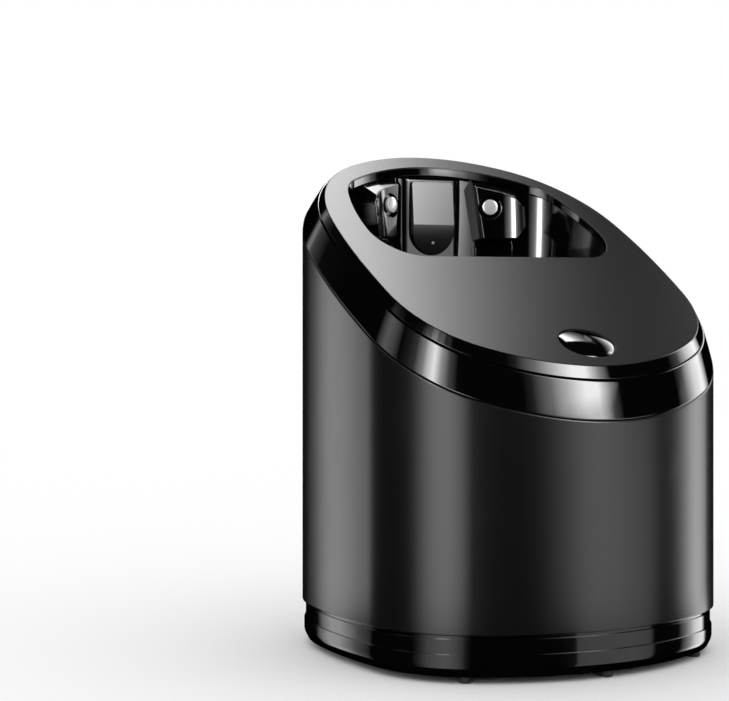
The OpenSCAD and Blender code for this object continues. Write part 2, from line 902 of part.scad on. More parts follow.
// The dish under the cradle, with its drain spout and the mouths of the tube and the duct
module wash_dish() {
    dish_low = dish_floor - well_wall;
    outer = well(well_wall - cradle_draw);
    inner = well(-cradle_draw);
    color([0.1, 0.1, 0.11])
        difference() {
            union() {
                loft([
                    for (k = [0:len(dish_steps) - 1])
                        level(drawn(outer, drain_at, dish_steps[k][0]), dish_low + dish_steps[k][1]),
                    level(outer, cradle_bottom - fit_gap)
                ]);
                translate([drain_at.x, drain_at.y, spout_end])
                    cylinder(r = drain_outer_r, h = dish_floor - spout_end);
            }
            loft([
                for (k = [0:len(dish_steps) - 1])
                    level(drawn(inner, drain_at, dish_steps[k][0]), dish_floor + dish_steps[k][1]),
                level(inner, cradle_bottom),
                level(inner, cradle_bottom + cut)
            ]);
            translate([drain_at.x, drain_at.y, spout_end - cut])
                cylinder(r = drain_r, h = dish_floor - spout_end + 2 * cut);
            translate([delivery_x, well_front, delivery_z])
                rotate([-90, 0, 0])
                    cylinder(r = tube_r + fit_gap, h = drain_at.y - well_front);
            translate([duct_x - duct_w / 2 - fit_gap, well_front, duct_z - fit_gap])
                cube([duct_w + 2 * fit_gap, drain_at.y - well_front, duct_h + 2 * fit_gap]);
        }
}

// ---------- contacts ----------

pin_head_h = recess_d - free_gap / 3 - 0.1;

// A round head on a thin shank; at rest the head stands proud of the cheek by its travel
module contact_pin() {
    color(steel)
        on_cheek() {
            translate([0, 0, -pin_travel + 0.2])
                cylinder(r = pin_head_r, h = pin_head_h);
            cylinder(r = pin_shank_r, h = pin_shank_l);
        }
}

module contact_pin_right() {
    contact_pin();
}

module contact_pin_left() {
    mirror([1, 0, 0])
        contact_pin();
}

// Small board behind the cradle that the pins' tails reach when pressed
module contact_board() {
    board_y = well_rear + cradle_grow + well_wall;
    reach = pin_x + 6.2;
    board_h = 13;
    color([0.1, 0.3, 0.16])
        translate([-reach, board_y, pin_z - board_h / 2 - 1.5])
            cube([2 * reach, 1.2, board_h]);
}

// ---------- start button ----------

cap_t = 1.8;

module button_bezel() {
    color(black)
        on_slope(top_h)
            translate([0, -button_slope, -cover_wall])
                linear_extrude(cover_wall - 0.2)
                    difference() {
                        ellipse(button_w + 2 * bezel_w - 0.2, button_l + 2 * bezel_w - 0.2);
                        ellipse(button_w + 2 * free_gap, button_l + 2 * free_gap);
                    }
}

// The domed cap, built of three steps, with a flange that keeps it under the bezel
module start_button() {
    color(black)
        on_slope(top_h)
            translate([0, -button_slope, 0]) {
                translate([0, 0, -cover_wall - free_gap])
                    linear_extrude(cover_wall + free_gap - 0.4)
                        ellipse(button_w, button_l);
                translate([0, 0, -0.4])
                    linear_extrude(0.4 + button_rise / 2, scale = 0.86)
                        ellipse(button_w, button_l);
                translate([0, 0, button_rise / 2])
                    linear_extrude(button_rise / 2, scale = 0.6)
                        ellipse(0.86 * button_w, 0.86 * button_l);
                translate([0, 0, -cover_wall - free_gap - cap_t])
                    linear_extrude(cap_t)
                        ellipse(button_w + 2 * bezel_w, button_l + 2 * bezel_w);
                translate([0, 0, -cover_wall - free_gap - cap_t - 0.6])
                    cylinder(r = 2, h = 1);
            }
}

switch_h = board_drop - cover_wall - free_gap - cap_t - 0.6 - button_travel - 0.4;

module start_switch() {
    color([0.12, 0.12, 0.12])
        on_slope(top_h)
            translate([0, -button_slope, -board_drop]) {
                translate([-3, -3, 0])
                    cube([6, 6, switch_h - 0.6]);
                cylinder(r = 1.6, h = switch_h);
            }
}

module main_board() {
    color([0.1, 0.3, 0.16])
        on_slope(top_h)
            difference() {
                translate([-board_w / 2, board_low, -board_drop - board_t])
                    cube([board_w, board_high - board_low, board_t - fit_gap]);
                for (p = board_screw_at)
                    translate([p.x, p.y, -board_drop - 2 * board_t])
                        cylinder(r = 1.2, h = 3 * board_t);
            }
}

// Chips and capacitors under the board
module board_parts() {
    chip = [12, 9, 1.4];
    driver = [6, 5, 2];
    can_r = 1.9;
    can_h = 3.5;
    color([0.15, 0.15, 0.16])
        on_slope(top_h)
            translate([0, board_low + board_l / 2, -board_drop - board_t]) {
                translate([-chip.x / 2, -chip.y / 6, -chip.z])
                    cube([chip.x, chip.y, chip.z - fit_gap]);
                translate([chip.x / 2 + driver.x / 2, chip.y / 3, -driver.z])
                    cube([driver.x, driver.y, driver.z - fit_gap]);
                for (k = [0, 1])
                    translate([-chip.x / 2 - (2 + 2.4 * k) * can_r, chip.y - can_r, -can_h])
                        cylinder(r = can_r, h = can_h - fit_gap);
            }
}

module board_screws() {
    color(steel)
        on_slope(top_h)
            for (p = board_screw_at)
                translate([p.x, p.y, -board_drop - board_t - 1]) {
                    cylinder(r = 2, h = 0.95);
                    cylinder(r = 1, h = board_t + 4);
                }
}

// ---------- chassis ----------

pump_r = impeller_r + 3;
scroll_r = fan_r + 3;

module chassis() {
    color(grey)
        difference() {
            union() {
                prism(shell_wall + free_gap, chassis_z, chassis_top);
                for (s = [-1, 1])
                    translate([s * rod_x, rod_y, chassis_z])
                        cylinder(r = sleeve_r, h = sleeve_top - chassis_z);
            }
            for (s = [-1, 1]) {
                translate([s * rod_x, rod_y, chassis_z - cut])
                    cylinder(r = rod_r + fit_gap, h = body_d);
                translate([s * post_x - post_w / 2 - 0.6, post_y - 0.6, chassis_z - cut])
                    cube([post_w + 1.2, post_d + 1.2, chassis_t + 2 * cut]);
            }
            for (p = side_boss_at)
                translate([p.x, p.y, chassis_z - cut])
                    cylinder(r = screw_r + fit_gap, h = chassis_t + 2 * cut);
            translate([drain_at.x, drain_at.y, chassis_z - cut])
                cylinder(r = drain_outer_r + fit_gap, h = chassis_t + 2 * cut);
            translate([pump_at.x, pump_at.y, chassis_z - cut])
                cylinder(r = tube_r + fit_gap, h = chassis_t + 2 * cut);
            translate([fan_at.x, fan_at.y, chassis_z - cut])
                cylinder(r = fan_r * 0.6, h = chassis_t + 2 * cut);
        }
}

module chassis_screws() {
    color(steel)
        for (p = side_boss_at)
            translate([p.x, p.y, chassis_z - screw_head_h - fit_gap]) {
                cylinder(r = screw_head_r, h = screw_head_h);
                cylinder(r = screw_r, h = screw_head_h + chassis_t + 2 * side_boss_h / 3);
            }
}

// ---------- pump ----------

pump_floor = 2;
pump_h = 12;
pump_cover_t = 2;
vane_t = 0.8;
pump_z = chassis_top + fit_gap;
motor_gap = 0.1;
motor_z = pump_z + pump_h + pump_cover_t + motor_gap;
motor_h = 14;
delivery_x = pump_at.x + pump_r - tube_r - 0.5;
pump_port_z = pump_z + pump_floor + 4;
delivery_z = dish_floor + 16;
bend_r = 5;
port_y = pump_at.y + pump_r + 3;
rise_y = port_y + 2 + bend_r;

module pump_body() {
    color(grey)
        difference() {
            union() {
                translate([pump_at.x, pump_at.y, pump_z])
                    cylinder(r = pump_r, h = pump_h);
                translate([delivery_x, pump_at.y, pump_port_z])
                    rotate([-90, 0, 0])
                        cylinder(r = tube_r, h = port_y - pump_at.y);
            }
            translate([pump_at.x, pump_at.y, pump_z + pump_floor])
                cylinder(r = impeller_r + 0.8, h = pump_h);
            translate([pump_at.x, pump_at.y, pump_z - cut])
                cylinder(r = tube_bore_r, h = pump_h);
            translate([delivery_x, pump_at.y, pump_port_z])
                rotate([-90, 0, 0])
                    cylinder(r = tube_bore_r, h = body_d);
        }
}

module pump_cover() {
    color(grey)
        translate([pump_at.x, pump_at.y, pump_z + pump_h + fit_gap])
            tube(pump_r, shaft_r + fit_gap, pump_cover_t - fit_gap);
}

module vane(r_in, r_out, h) {
    translate([r_in, -vane_t / 2, 0])
        cube([r_out - r_in, vane_t, h]);
}

module pump_rotor() {
    color([0.85, 0.85, 0.82])
        translate([pump_at.x, pump_at.y, pump_z + pump_floor + free_gap]) {
            cylinder(r = impeller_r, h = 1.5);
            for (i = [0:5])
                rotate([0, 0, 60 * i])
                    vane(shaft_r / 2, impeller_r - 0.4, 7);
            cylinder(r = shaft_r, h = pump_h + pump_cover_t + 2);
        }
}

module motor(h, r) {
    difference() {
        cylinder(r = r, h = h);
        translate([0, 0, -cut])
            cylinder(r = shaft_r + fit_gap, h = cut + 5);
    }
    translate([0, 0, h])
        cylinder(r = r / 3, h = 1);
}

module pump_motor() {
    color(steel)
        translate([pump_at.x, pump_at.y, motor_z])
            motor(motor_h, pump_r - 1);
}

module suction_tube() {
    color(steel)
        translate([pump_at.x, pump_at.y, cartridge_z + 8])
            tube(tube_r, tube_bore_r, pump_z - fit_gap - cartridge_z - 8);
}

// A quarter bend of the delivery tube, from +Y to +Z about a centre above the start
module bend() {
    rotate([90, 0, 90])
        rotate([0, 0, -90])
            rotate_extrude(angle = 90)
                translate([bend_r, 0])
                    difference() {
                        circle(tube_r);
                        circle(tube_bore_r);
                    }
}

module delivery_tube() {
    upright = delivery_z - pump_port_z - 2 * bend_r;
    tube_end = well_front + 8.1;
    color([0.8, 0.8, 0.78])
        translate([delivery_x, rise_y, pump_port_z]) {
            translate([0, fit_gap - 2 - bend_r, 0])
                rotate([-90, 0, 0])
                    tube(tube_r, tube_bore_r, 2 - fit_gap);
            translate([0, -bend_r, bend_r])
                bend();
            translate([0, 0, bend_r])
                tube(tube_r, tube_bore_r, upright);
            translate([0, bend_r, bend_r + upright])
                rotate([180, 0, 0])
                    bend();
            translate([0, bend_r, 2 * bend_r + upright])
                rotate([-90, 0, 0])
                    tube(tube_r, tube_bore_r, tube_end - rise_y - bend_r);
        }
}

// ---------- fan ----------

scroll_h = 23;
scroll_wall = 1.6;
fan_z = pump_z;
rotor_z = fan_z + 4;
rotor_h = 14;
duct_w = 13;
duct_h = 9;
duct_x = fan_at.x + 4;
duct_z = dish_floor + 1;
duct_start = fan_at.y + scroll_r + 1;

module fan_scroll() {
    color(grey)
        difference() {
            union() {
                translate([fan_at.x, fan_at.y, fan_z])
                    cylinder(r = scroll_r, h = scroll_h);
                translate([duct_x - duct_w / 2, fan_at.y, duct_z])
                    cube([duct_w, duct_start - fan_at.y, duct_h]);
            }
            translate([fan_at.x, fan_at.y, fan_z + scroll_wall])
                cylinder(r = scroll_r - scroll_wall, h = scroll_h - 2 * scroll_wall);
            translate([fan_at.x, fan_at.y, fan_z - cut])
                cylinder(r = fan_r * 0.6, h = 2 * cut + scroll_wall);
            translate([fan_at.x, fan_at.y, fan_z])
                cylinder(r = shaft_r + fit_gap, h = scroll_h + cut);
            translate([duct_x - duct_w / 2 + scroll_wall, fan_at.y, duct_z + scroll_wall])
                cube([duct_w - 2 * scroll_wall, body_d, duct_h - 2 * scroll_wall]);
        }
}

module fan_rotor() {
    color([0.2, 0.2, 0.22])
        translate([fan_at.x, fan_at.y, rotor_z]) {
            cylinder(r = fan_r, h = 1.5);
            for (i = [0:17])
                rotate([0, 0, 20 * i])
                    vane(fan_r * 0.7, fan_r - 0.3, rotor_h);
            cylinder(r = 3, h = 6);
            cylinder(r = shaft_r, h = fan_z + scroll_h + motor_gap + 4 - rotor_z);
        }
}

module fan_motor() {
    color(steel)
        translate([fan_at.x, fan_at.y, fan_z + scroll_h + motor_gap])
            motor(scroll_h / 3 + 0.3, fan_r - 3);
}

module air_duct() {
    duct_end = well_front + 10.6;
    color(grey)
        translate([duct_x - duct_w / 2, duct_start + fit_gap, duct_z])
            difference() {
                cube([duct_w, duct_end - duct_start - fit_gap, duct_h]);
                translate([scroll_wall, -cut, scroll_wall])
                    cube([duct_w - 2 * scroll_wall, body_d, duct_h - 2 * scroll_wall]);
            }
}

// ---------- power inlet ----------

inlet_face = body_d / 2 - 1.2;
inlet_back = 2;

module power_inlet() {
    color(black)
        difference() {
            intersection() {
                translate([0, inlet_face, inlet_z])
                    rotate([90, 0, 0]) {
                        linear_extrude(inlet_depth + inlet_back)
                            slot_shape(inlet_w + 2 * inlet_wall - 0.2, inlet_h + 2 * inlet_wall - 0.2);
                        translate([0, 0, shell_wall + 1])
                            linear_extrude(2)
                                slot_shape(inlet_w + 2 * inlet_wall + 4, inlet_h + 2 * inlet_wall + 2);
                    }
                prism(fit_gap, shell_z, chassis_z);
            }
            translate([0, body_d, inlet_z])
                rotate([90, 0, 0])
                    linear_extrude(body_d - inlet_face + inlet_depth)
                        slot_shape(inlet_w, inlet_h);
            for (s = [-1, 1])
                translate([s * inlet_pin_x, inlet_face, inlet_z])
                    rotate([90, 0, 0])
                        cylinder(r = 0.6 + fit_gap, h = inlet_depth + 2 * inlet_back);
        }
}

module inlet_pins() {
    color(steel)
        for (s = [-1, 1])
            translate([s * inlet_pin_x, inlet_face - 2, inlet_z])
                rotate([90, 0, 0])
                    cylinder(r = 0.6, h = inlet_depth + inlet_back + 1);
}

base_tray();
feet();
base_screws();
cartridge_tub();
cartridge_lid();
cartridge_filter();
guide_rods();
lift_springs();
catch_posts();
housing_shell();
trim_ring();
top_cover();
well_collar();
cradle();
tower_plate();
sensor_dot();
wash_dish();
chassis();
chassis_screws();
contact_pin_left();
contact_pin_right();
contact_board();
button_bezel();
start_button();
start_switch();
main_board();
board_parts();
board_screws();
pump_body();
pump_cover();
pump_rotor();
pump_motor();
suction_tube();
delivery_tube();
fan_scroll();
fan_rotor();
fan_motor();
air_duct();
lift_button();
latch_bar();
latch_spring();
power_inlet();
inlet_pins();
rear_bracket();
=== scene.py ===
"""A shaver cleaning station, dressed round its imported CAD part.

Lengths are in metres and places are in the part's own frame: +Z is up, the start button faces -Y,
and the feet stand on z = 0. Each sub-assembly is a class whose fields hold its sizes.
"""

import logging
import math
from collections.abc import Callable, Iterable, Sequence
from dataclasses import dataclass, replace
from enum import Enum
from functools import cached_property

import bmesh
import bpy
from mathutils import Matrix, Vector


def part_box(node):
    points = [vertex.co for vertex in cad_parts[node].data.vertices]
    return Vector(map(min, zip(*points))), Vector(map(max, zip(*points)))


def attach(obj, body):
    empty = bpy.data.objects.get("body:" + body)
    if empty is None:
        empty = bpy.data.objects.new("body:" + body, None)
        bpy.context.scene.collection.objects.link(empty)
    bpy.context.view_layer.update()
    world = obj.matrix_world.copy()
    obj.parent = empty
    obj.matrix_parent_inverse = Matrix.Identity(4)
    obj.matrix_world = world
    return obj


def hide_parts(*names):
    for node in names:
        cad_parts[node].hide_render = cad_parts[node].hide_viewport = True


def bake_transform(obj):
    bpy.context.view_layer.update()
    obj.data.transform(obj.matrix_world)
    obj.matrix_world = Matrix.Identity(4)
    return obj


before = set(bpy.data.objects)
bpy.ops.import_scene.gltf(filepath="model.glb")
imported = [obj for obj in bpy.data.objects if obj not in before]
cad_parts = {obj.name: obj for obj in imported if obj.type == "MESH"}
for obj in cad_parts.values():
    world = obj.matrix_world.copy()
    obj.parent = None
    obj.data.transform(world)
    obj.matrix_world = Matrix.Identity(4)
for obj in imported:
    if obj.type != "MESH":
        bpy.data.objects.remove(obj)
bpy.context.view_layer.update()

LOG = logging.getLogger("station")
MM = 0.001
WELD = 0.0005 * MM
CREASE = math.radians(34)
FLAT_WEIGHT = 90
QUARTER = math.pi / 2

BODY_STEPS = 240        # points round the station's outline
WELL_STEPS = 56         # points along each half of the well's outline
ROUND_STEPS = 64        # points round a button, a pin or a rod
CARTRIDGE_STEPS = 128   # points round the cartridge and the ring that centres it
SCREW_STEPS = 40        # points round a screw's hole or boss
POST_STEPS = 32         # points round a small post or a lens

Mesh = bmesh.types.BMesh
Edge = bmesh.types.BMEdge
Material = bpy.types.Material
Socket = bpy.types.NodeSocket
Ring = Sequence[Vector]
Pair = tuple[float, float]
Profile = Sequence[Pair]
Triple = tuple[float, float, float]


class Body(Enum):
    """The part's moving bodies that new pieces ride on."""

    BASE = "base"
    HOUSING = "housing"
    START_BUTTON = "start_button"
    PIN_LEFT = "contact_pin_left"
    PIN_RIGHT = "contact_pin_right"
    LIFT_BUTTON = "lift_button"


class Slot(Enum):
    """The material slots."""

    SATIN_DARK = "satin_dark"
    SATIN_TOP = "satin_top"
    GLOSS_BLACK = "gloss_black"
    BUTTON_BLACK = "button_black"
    FOOT_RUBBER = "foot_rubber"
    STEEL = "steel"
    CONTACT_CHROME = "contact_chrome"
    PLATE_GREY = "plate_grey"
    SENSOR_LENS = "sensor_lens"
    CARTRIDGE_PLASTIC = "cartridge_plastic"
    LID_BLUE = "lid_blue"
    WHITE_PLASTIC = "white_plastic"
    INNER_GREY = "inner_grey"
    CIRCUIT_GREEN = "circuit_green"


class Carve(Enum):
    """Ways to combine two closed shells."""

    CUT = "DIFFERENCE"
    KEEP = "INTERSECT"


@dataclass(frozen=True)
class Station:
    """The driving sizes that several sub-assemblies share."""

    width: float = 125.6 * MM
    depth: float = 125.0 * MM
    wide_front: float = 0.4 * MM
    front_r: float = 85 * MM
    rear_r: float = 82 * MM
    side_front_r: float = 195 * MM
    side_rear_r: float = 137 * MM
    corner_front_r: float = 39 * MM
    corner_rear_r: float = 47 * MM
    foot_h: float = 2.0 * MM
    base_top: float = 13.3 * MM
    shell_z: float = 14.5 * MM
    edge_h: float = 115.4 * MM
    trim_top: float = 126.0 * MM
    top_h: float = 129.3 * MM
    tilt: float = math.radians(31.7)
    trim_inset: float = 4.0 * MM
    trim_lean: float = 1.8 * MM
    cover_inset: float = 6.3 * MM
    cover_lean: float = 2.3 * MM
    cover_wall: float = 2.2 * MM
    seam_gap: float = 0.25 * MM
    free_gap: float = 0.3 * MM
    well_wall: float = 1.4 * MM
    cradle_bottom: float = 96 * MM

    @property
    def slope(self) -> float:
        """Rise of the top for each metre to the rear."""
        return math.tan(self.tilt)

    @property
    def plate_t(self) -> float:
        """Upright thickness of the top plate."""
        return self.cover_wall / math.cos(self.tilt)

    @property
    def cradle_top(self) -> float:
        """Height of the cradle's slanted edge at the middle."""
        return self.top_h - self.plate_t - 0.7 * MM

    def on_top(self, x: float, along: float, off: float = 0.0) -> Vector:
        """A point from coordinates on the top face.

        Args:
            x: Sideways place.
            along: Distance up the slope from the middle.
            off: Distance off the face.

        Returns:
            The point in the part's frame.
        """
        cos, sin = math.cos(self.tilt), math.sin(self.tilt)
        return Vector((x, along * cos - off * sin, self.top_h + along * sin + off * cos))


STATION = Station()


# ---------- outlines ----------


@dataclass(frozen=True)
class Arc:
    """A round stretch of an outline."""

    centre: Vector
    radius: float

    def point(self, turn: float, inset: float) -> Vector:
        """The point whose normal stands at a turn from the end axis, drawn in by inset."""
        return self.centre + (self.radius - inset) * Vector((math.sin(turn), math.cos(turn)))


class Quarter:
    """A quarter of an outline: an end arc, a corner arc and a side arc, each tangent to the next."""

    def __init__(self, across: float, along: float, end_r: float, side_r: float,
                 corner_r: float) -> None:
        """Finds the corner arc's centre from the two arcs that it joins.

        Args:
            across: Reach to the side.
            along: Reach to the end.
            end_r: Radius of the end arc.
            side_r: Radius of the side arc.
            corner_r: Radius of the corner arc.
        """
        end, side = Vector((0.0, along - end_r)), Vector((across - side_r, 0.0))
        span = side - end
        to_end, to_side = end_r - corner_r, side_r - corner_r
        share = (to_end**2 - to_side**2 + span.length_squared) / (2 * span.length)
        off = math.sqrt(max(0.0, to_end**2 - share**2))
        unit = span.normalized()
        corner = end + share * unit + off * Vector((unit.y, -unit.x))
        self.arcs = (Arc(end, end_r), Arc(corner, corner_r), Arc(side, side_r))
        self.joins = tuple(math.atan2(d.x, d.y) for d in (corner - end, corner - side))

    def point(self, turn: float, inset: float) -> Vector:
        """The quarter's point whose normal stands at a turn from the end axis, drawn in by inset."""
        return self.arcs[sum(turn >= join for join in self.joins)].point(turn, inset)


class BodyOutline:
    """The station's outline seen from above, as tangent arcs, starting at the front."""

    def __init__(self, size: Station) -> None:
        """Sets out the front and the rear quarters."""
        half, reach = size.width / 2, size.depth / 2
        self.wide = size.wide_front
        self.front = Quarter(half, reach - self.wide, size.front_r, size.side_front_r,
                             size.corner_front_r)
        self.rear = Quarter(half, reach + self.wide, size.rear_r, size.side_rear_r,
                            size.corner_rear_r)

    def point(self, turn: float, inset: float) -> Vector:
        """The outline's point whose normal stands at a turn from the front, drawn in by inset."""
        turn %= math.tau
        at_front = math.cos(turn) > 0
        bearing = min(turn, math.tau - turn) if at_front else abs(math.pi - turn)
        p = (self.front if at_front else self.rear).point(bearing, inset)
        return Vector((p.x if turn < math.pi else -p.x, (-p.y if at_front else p.y) - self.wide))

    def ring(self, inset: float) -> list[Vector]:
        """The whole outline, drawn in by inset."""
        return [self.point(math.tau * i / BODY_STEPS, inset) for i in range(BODY_STEPS)]


class WellOutline:
    """An outline with a straight front edge and a round rear, for the opening that takes the shaver."""

    widening: float = 0.2 * MM
    rear_r: float = 72 * MM
    side_r: float = 60 * MM
    rear_corner_r: float = 17 * MM

    def __init__(self, width: float, front: float, rear: float, corner_r: float, inset: float = 0.0) -> None:
        """Sets out the front corner and the rear quarter.

        Args:
            width: Its width.
            front: Where its front edge lies.
            rear: Where its rear middle lies.
            corner_r: Radius of the front corners.
            inset: How far the rear's radii are drawn in.
        """
        self.corner_r = corner_r
        self.corner = Vector((width / 2 - corner_r, front + corner_r))
        self.wide_y = self.corner.y + self.widening
        radii = (self.rear_r - inset, self.side_r - inset, self.rear_corner_r - inset)
        self.rear = Quarter(width / 2, rear - self.wide_y, *radii)

    def ring(self, inset: float) -> list[Vector]:
        """The whole outline from its front edge, drawn in by inset."""
        corner_steps = WELL_STEPS // 3
        rear_steps = WELL_STEPS - corner_steps
        right = [self.corner + (self.corner_r - inset) * Vector((sin, -cos)) for sin, cos in bow(corner_steps)]
        for i in range(rear_steps + 1):
            right.append(self.rear.point(QUARTER * (1 - i / rear_steps), inset) + Vector((0.0, self.wide_y)))
        return right + [Vector((-p.x, p.y)) for p in right[-2::-1]]


def bow(steps: int) -> list[Pair]:
    """Sine and cosine at equal steps over a quarter turn, both ends included."""
    turns = [QUARTER * i / steps for i in range(steps + 1)]
    return [(math.sin(a), math.cos(a)) for a in turns]


def ellipse(width: float, length: float) -> list[Vector]:
    """An ellipse of the given width and length about the origin."""
    turns = (math.tau * i / ROUND_STEPS for i in range(ROUND_STEPS))
    return [Vector((width / 2 * math.cos(a), length / 2 * math.sin(a))) for a in turns]


def slot_shape(width: float, height: float) -> list[Vector]:
    """A slot with round ends about the origin."""
    steps, reach = ROUND_STEPS // 2, (width - height) / 2
    turns = (math.pi * i / steps - QUARTER for i in range(steps + 1))
    right = [Vector((reach + height / 2 * math.cos(a), height / 2 * math.sin(a))) for a in turns]
    return right + [-p for p in right]


BODY = BodyOutline(STATION)
WELL = WellOutline(92.6 * MM, -4 * MM, 49.6 * MM, 14 * MM)
MOUTH = WellOutline(90 * MM, -4.2 * MM, 47.9 * MM, 14 * MM, inset=1.7 * MM)
DRAIN = Vector((0.0, 20.8 * MM))


# ---------- profiles ----------


@dataclass(frozen=True)
class Stop:
    """One station of a wall's profile: how far the outline is drawn in there, and where it lies."""

    inset: float
    height: float
    slanted: bool = True
    lean: float = 0.0
    radius: float = 0.0

    def towards(self, other: "Stop", share: float) -> "Stop":
        """The station at a share of the way to another one that is slanted alike."""
        def between(a: float, b: float) -> float:
            return a + (b - a) * share
        return replace(
            self,
            inset=between(self.inset, other.inset),
            height=between(self.height, other.height),
            lean=between(self.lean, other.lean),
        )

    def gap(self, other: "Stop") -> float:
        """Distance to another station."""
        return math.hypot(self.inset - other.inset, self.height - other.height)

    def place(self, point: Vector) -> Vector:
        """Where a point of the drawn-in outline lies at this station."""
        y = point.y - self.lean
        return Vector((point.x, y, self.height + (STATION.slope * y if self.slanted else 0.0)))


def eased(stops: Sequence[Stop], steps: int = 5) -> list[Stop]:
    """Rounds the corners of a closed profile.

    Args:
        stops: The profile's stations, in order; the last one joins the first.
        steps: Steps in each round corner.

    Returns:
        The stations with each one that has a radius turned into a curve.
    """
    made: list[Stop] = []
    for i, stop in enumerate(stops):
        if not stop.radius:
            made.append(stop)
            continue
        before, after = stops[i - 1], stops[(i + 1) % len(stops)]
        start = stop.towards(before, stop.radius / stop.gap(before))
        end = stop.towards(after, stop.radius / stop.gap(after))
        for k in range(steps + 1):
            share = k / steps
            made.append(start.towards(stop, share).towards(stop.towards(end, share), share))
    return made


# ---------- shells ----------


class Shell:
    """A surface that grows by extruding its open ring of edges."""

    def __init__(self, ring: Ring, mesh: Mesh | None = None) -> None:
        """Starts the surface with one closed ring.

        Args:
            ring: The ring's points in order.
            mesh: A mesh to add to, or None for a new one.
        """
        self.mesh = mesh or bmesh.new()
        self.verts = [self.mesh.verts.new(p) for p in ring]
        self.edges = [self.mesh.edges.new(pair) for pair in zip(self.verts, self.verts[1:] + self.verts[:1])]

    def grow(self, ring: Ring) -> "Shell":
        """Extrudes the open ring and sets its points to the given ones."""
        geometry = bmesh.ops.extrude_edge_only(self.mesh, edges=self.edges)["geom"]
        fresh = {v for v in geometry if isinstance(v, bmesh.types.BMVert)}
        after = []
        for vert in self.verts:
            after.append(next(e.other_vert(vert) for e in vert.link_edges if e.other_vert(vert) in fresh))
        for vert, point in zip(after, ring):
            vert.co = point
        self.verts = after
        self.edges = [self.mesh.edges.get(pair) for pair in zip(after, after[1:] + after[:1])]
        return self

    def grow_all(self, rings: Iterable[Ring]) -> "Shell":
        """Extrudes through several rings in turn."""
        for ring in rings:
            self.grow(ring)
        return self

    def cap(self) -> "Shell":
        """Closes the open ring with one face."""
        bmesh.ops.contextual_create(self.mesh, geom=self.edges)
        return self


def fill(mesh: Mesh, edges: Sequence[Edge]) -> None:
    """Fills the flat stretch between rings of edges, which may lie in one another."""
    bmesh.ops.triangle_fill(mesh, edges=edges, use_beauty=True, use_dissolve=False)


def looped(rings: Sequence[Ring]) -> Mesh:
    """A closed ring-shaped body through rings of equally many points, whose last one joins the first."""
    mesh = Shell(rings[0]).grow_all([*rings[1:], rings[0]]).mesh
    bmesh.ops.remove_doubles(mesh, verts=mesh.verts, dist=WELD)
    return mesh


def ring_body(outline: Callable[[float], list[Vector]], stops: Sequence[Stop]) -> Mesh:
    """A closed ring-shaped body whose profile follows an outline.

    Args:
        outline: Gives the outline's points for an inset.
        stops: The profile, in order; the last station joins the first.

    Returns:
        The body's mesh.
    """
    return looped([[stop.place(p) for p in outline(stop.inset)] for stop in stops])


def solid(rings: Sequence[Ring], mesh: Mesh | None = None) -> Mesh:
    """A closed body through rings of equally many points, with a face on each end.

    Args:
        rings: The rings from one end to the other.
        mesh: A mesh to add to, or None for a new one.

    Returns:
        The mesh that holds the body.
    """
    shell = Shell(rings[0], mesh).cap()
    return shell.grow_all(rings[1:]).cap().mesh


def shifted(x: float, y: float, z: float = 0.0) -> Matrix:
    """Moves a body's own coordinates to a place in the part's frame."""
    return Matrix.Translation((x, y, z))


def bar(radius: float, low: float, high: float) -> Profile:
    """The profile of a plain round bar between two heights."""
    return [(0, low), (radius, low), (radius, high), (0, high)]


def turned(profile: Profile, to_part: Matrix, steps: int = ROUND_STEPS) -> Mesh:
    """A round body from a profile spun about its own axis.

    Args:
        profile: Radius and height of each point, from the axis back to the axis.
        to_part: Takes the body's own coordinates to the part's frame.
        steps: Points round it.

    Returns:
        The body's mesh.
    """
    mesh = bmesh.new()
    verts = [mesh.verts.new((radius, 0.0, height)) for radius, height in profile]
    edges = [mesh.edges.new(pair) for pair in zip(verts, verts[1:])]
    bmesh.ops.spin(mesh, geom=verts + edges, cent=(0, 0, 0), axis=(0, 0, 1), angle=math.tau,
                   steps=steps, use_merge=True)
    bmesh.ops.remove_doubles(mesh, verts=mesh.verts, dist=WELD)
    bmesh.ops.transform(mesh, matrix=to_part, verts=mesh.verts)
    return mesh


def bevelled(mesh: Mesh, edges: Sequence[Edge], size: float, steps: int = 3) -> None:
    """Rounds edges of a mesh."""
    bmesh.ops.bevel(mesh, geom=list(edges), offset=size, segments=steps, profile=0.5,
                    affect="EDGES", material=-1)


def shown(name: str, mesh: Mesh) -> bpy.types.Object:
    """Turns a mesh into an object of the scene; the mesh is freed."""
    data = bpy.data.meshes.new(name)
    mesh.to_mesh(data)
    mesh.free()
    thing = bpy.data.objects.new(name, data)
    bpy.context.scene.collection.objects.link(thing)
    return thing


def added(*meshes: Mesh) -> Mesh:
    """Several meshes as one; the ones after the first are freed."""
    first, *others = meshes
    for other in others:
        loose = bpy.data.meshes.new("loose")
        other.to_mesh(loose)
        other.free()
        first.from_mesh(loose)
        bpy.data.meshes.remove(loose)
    return first


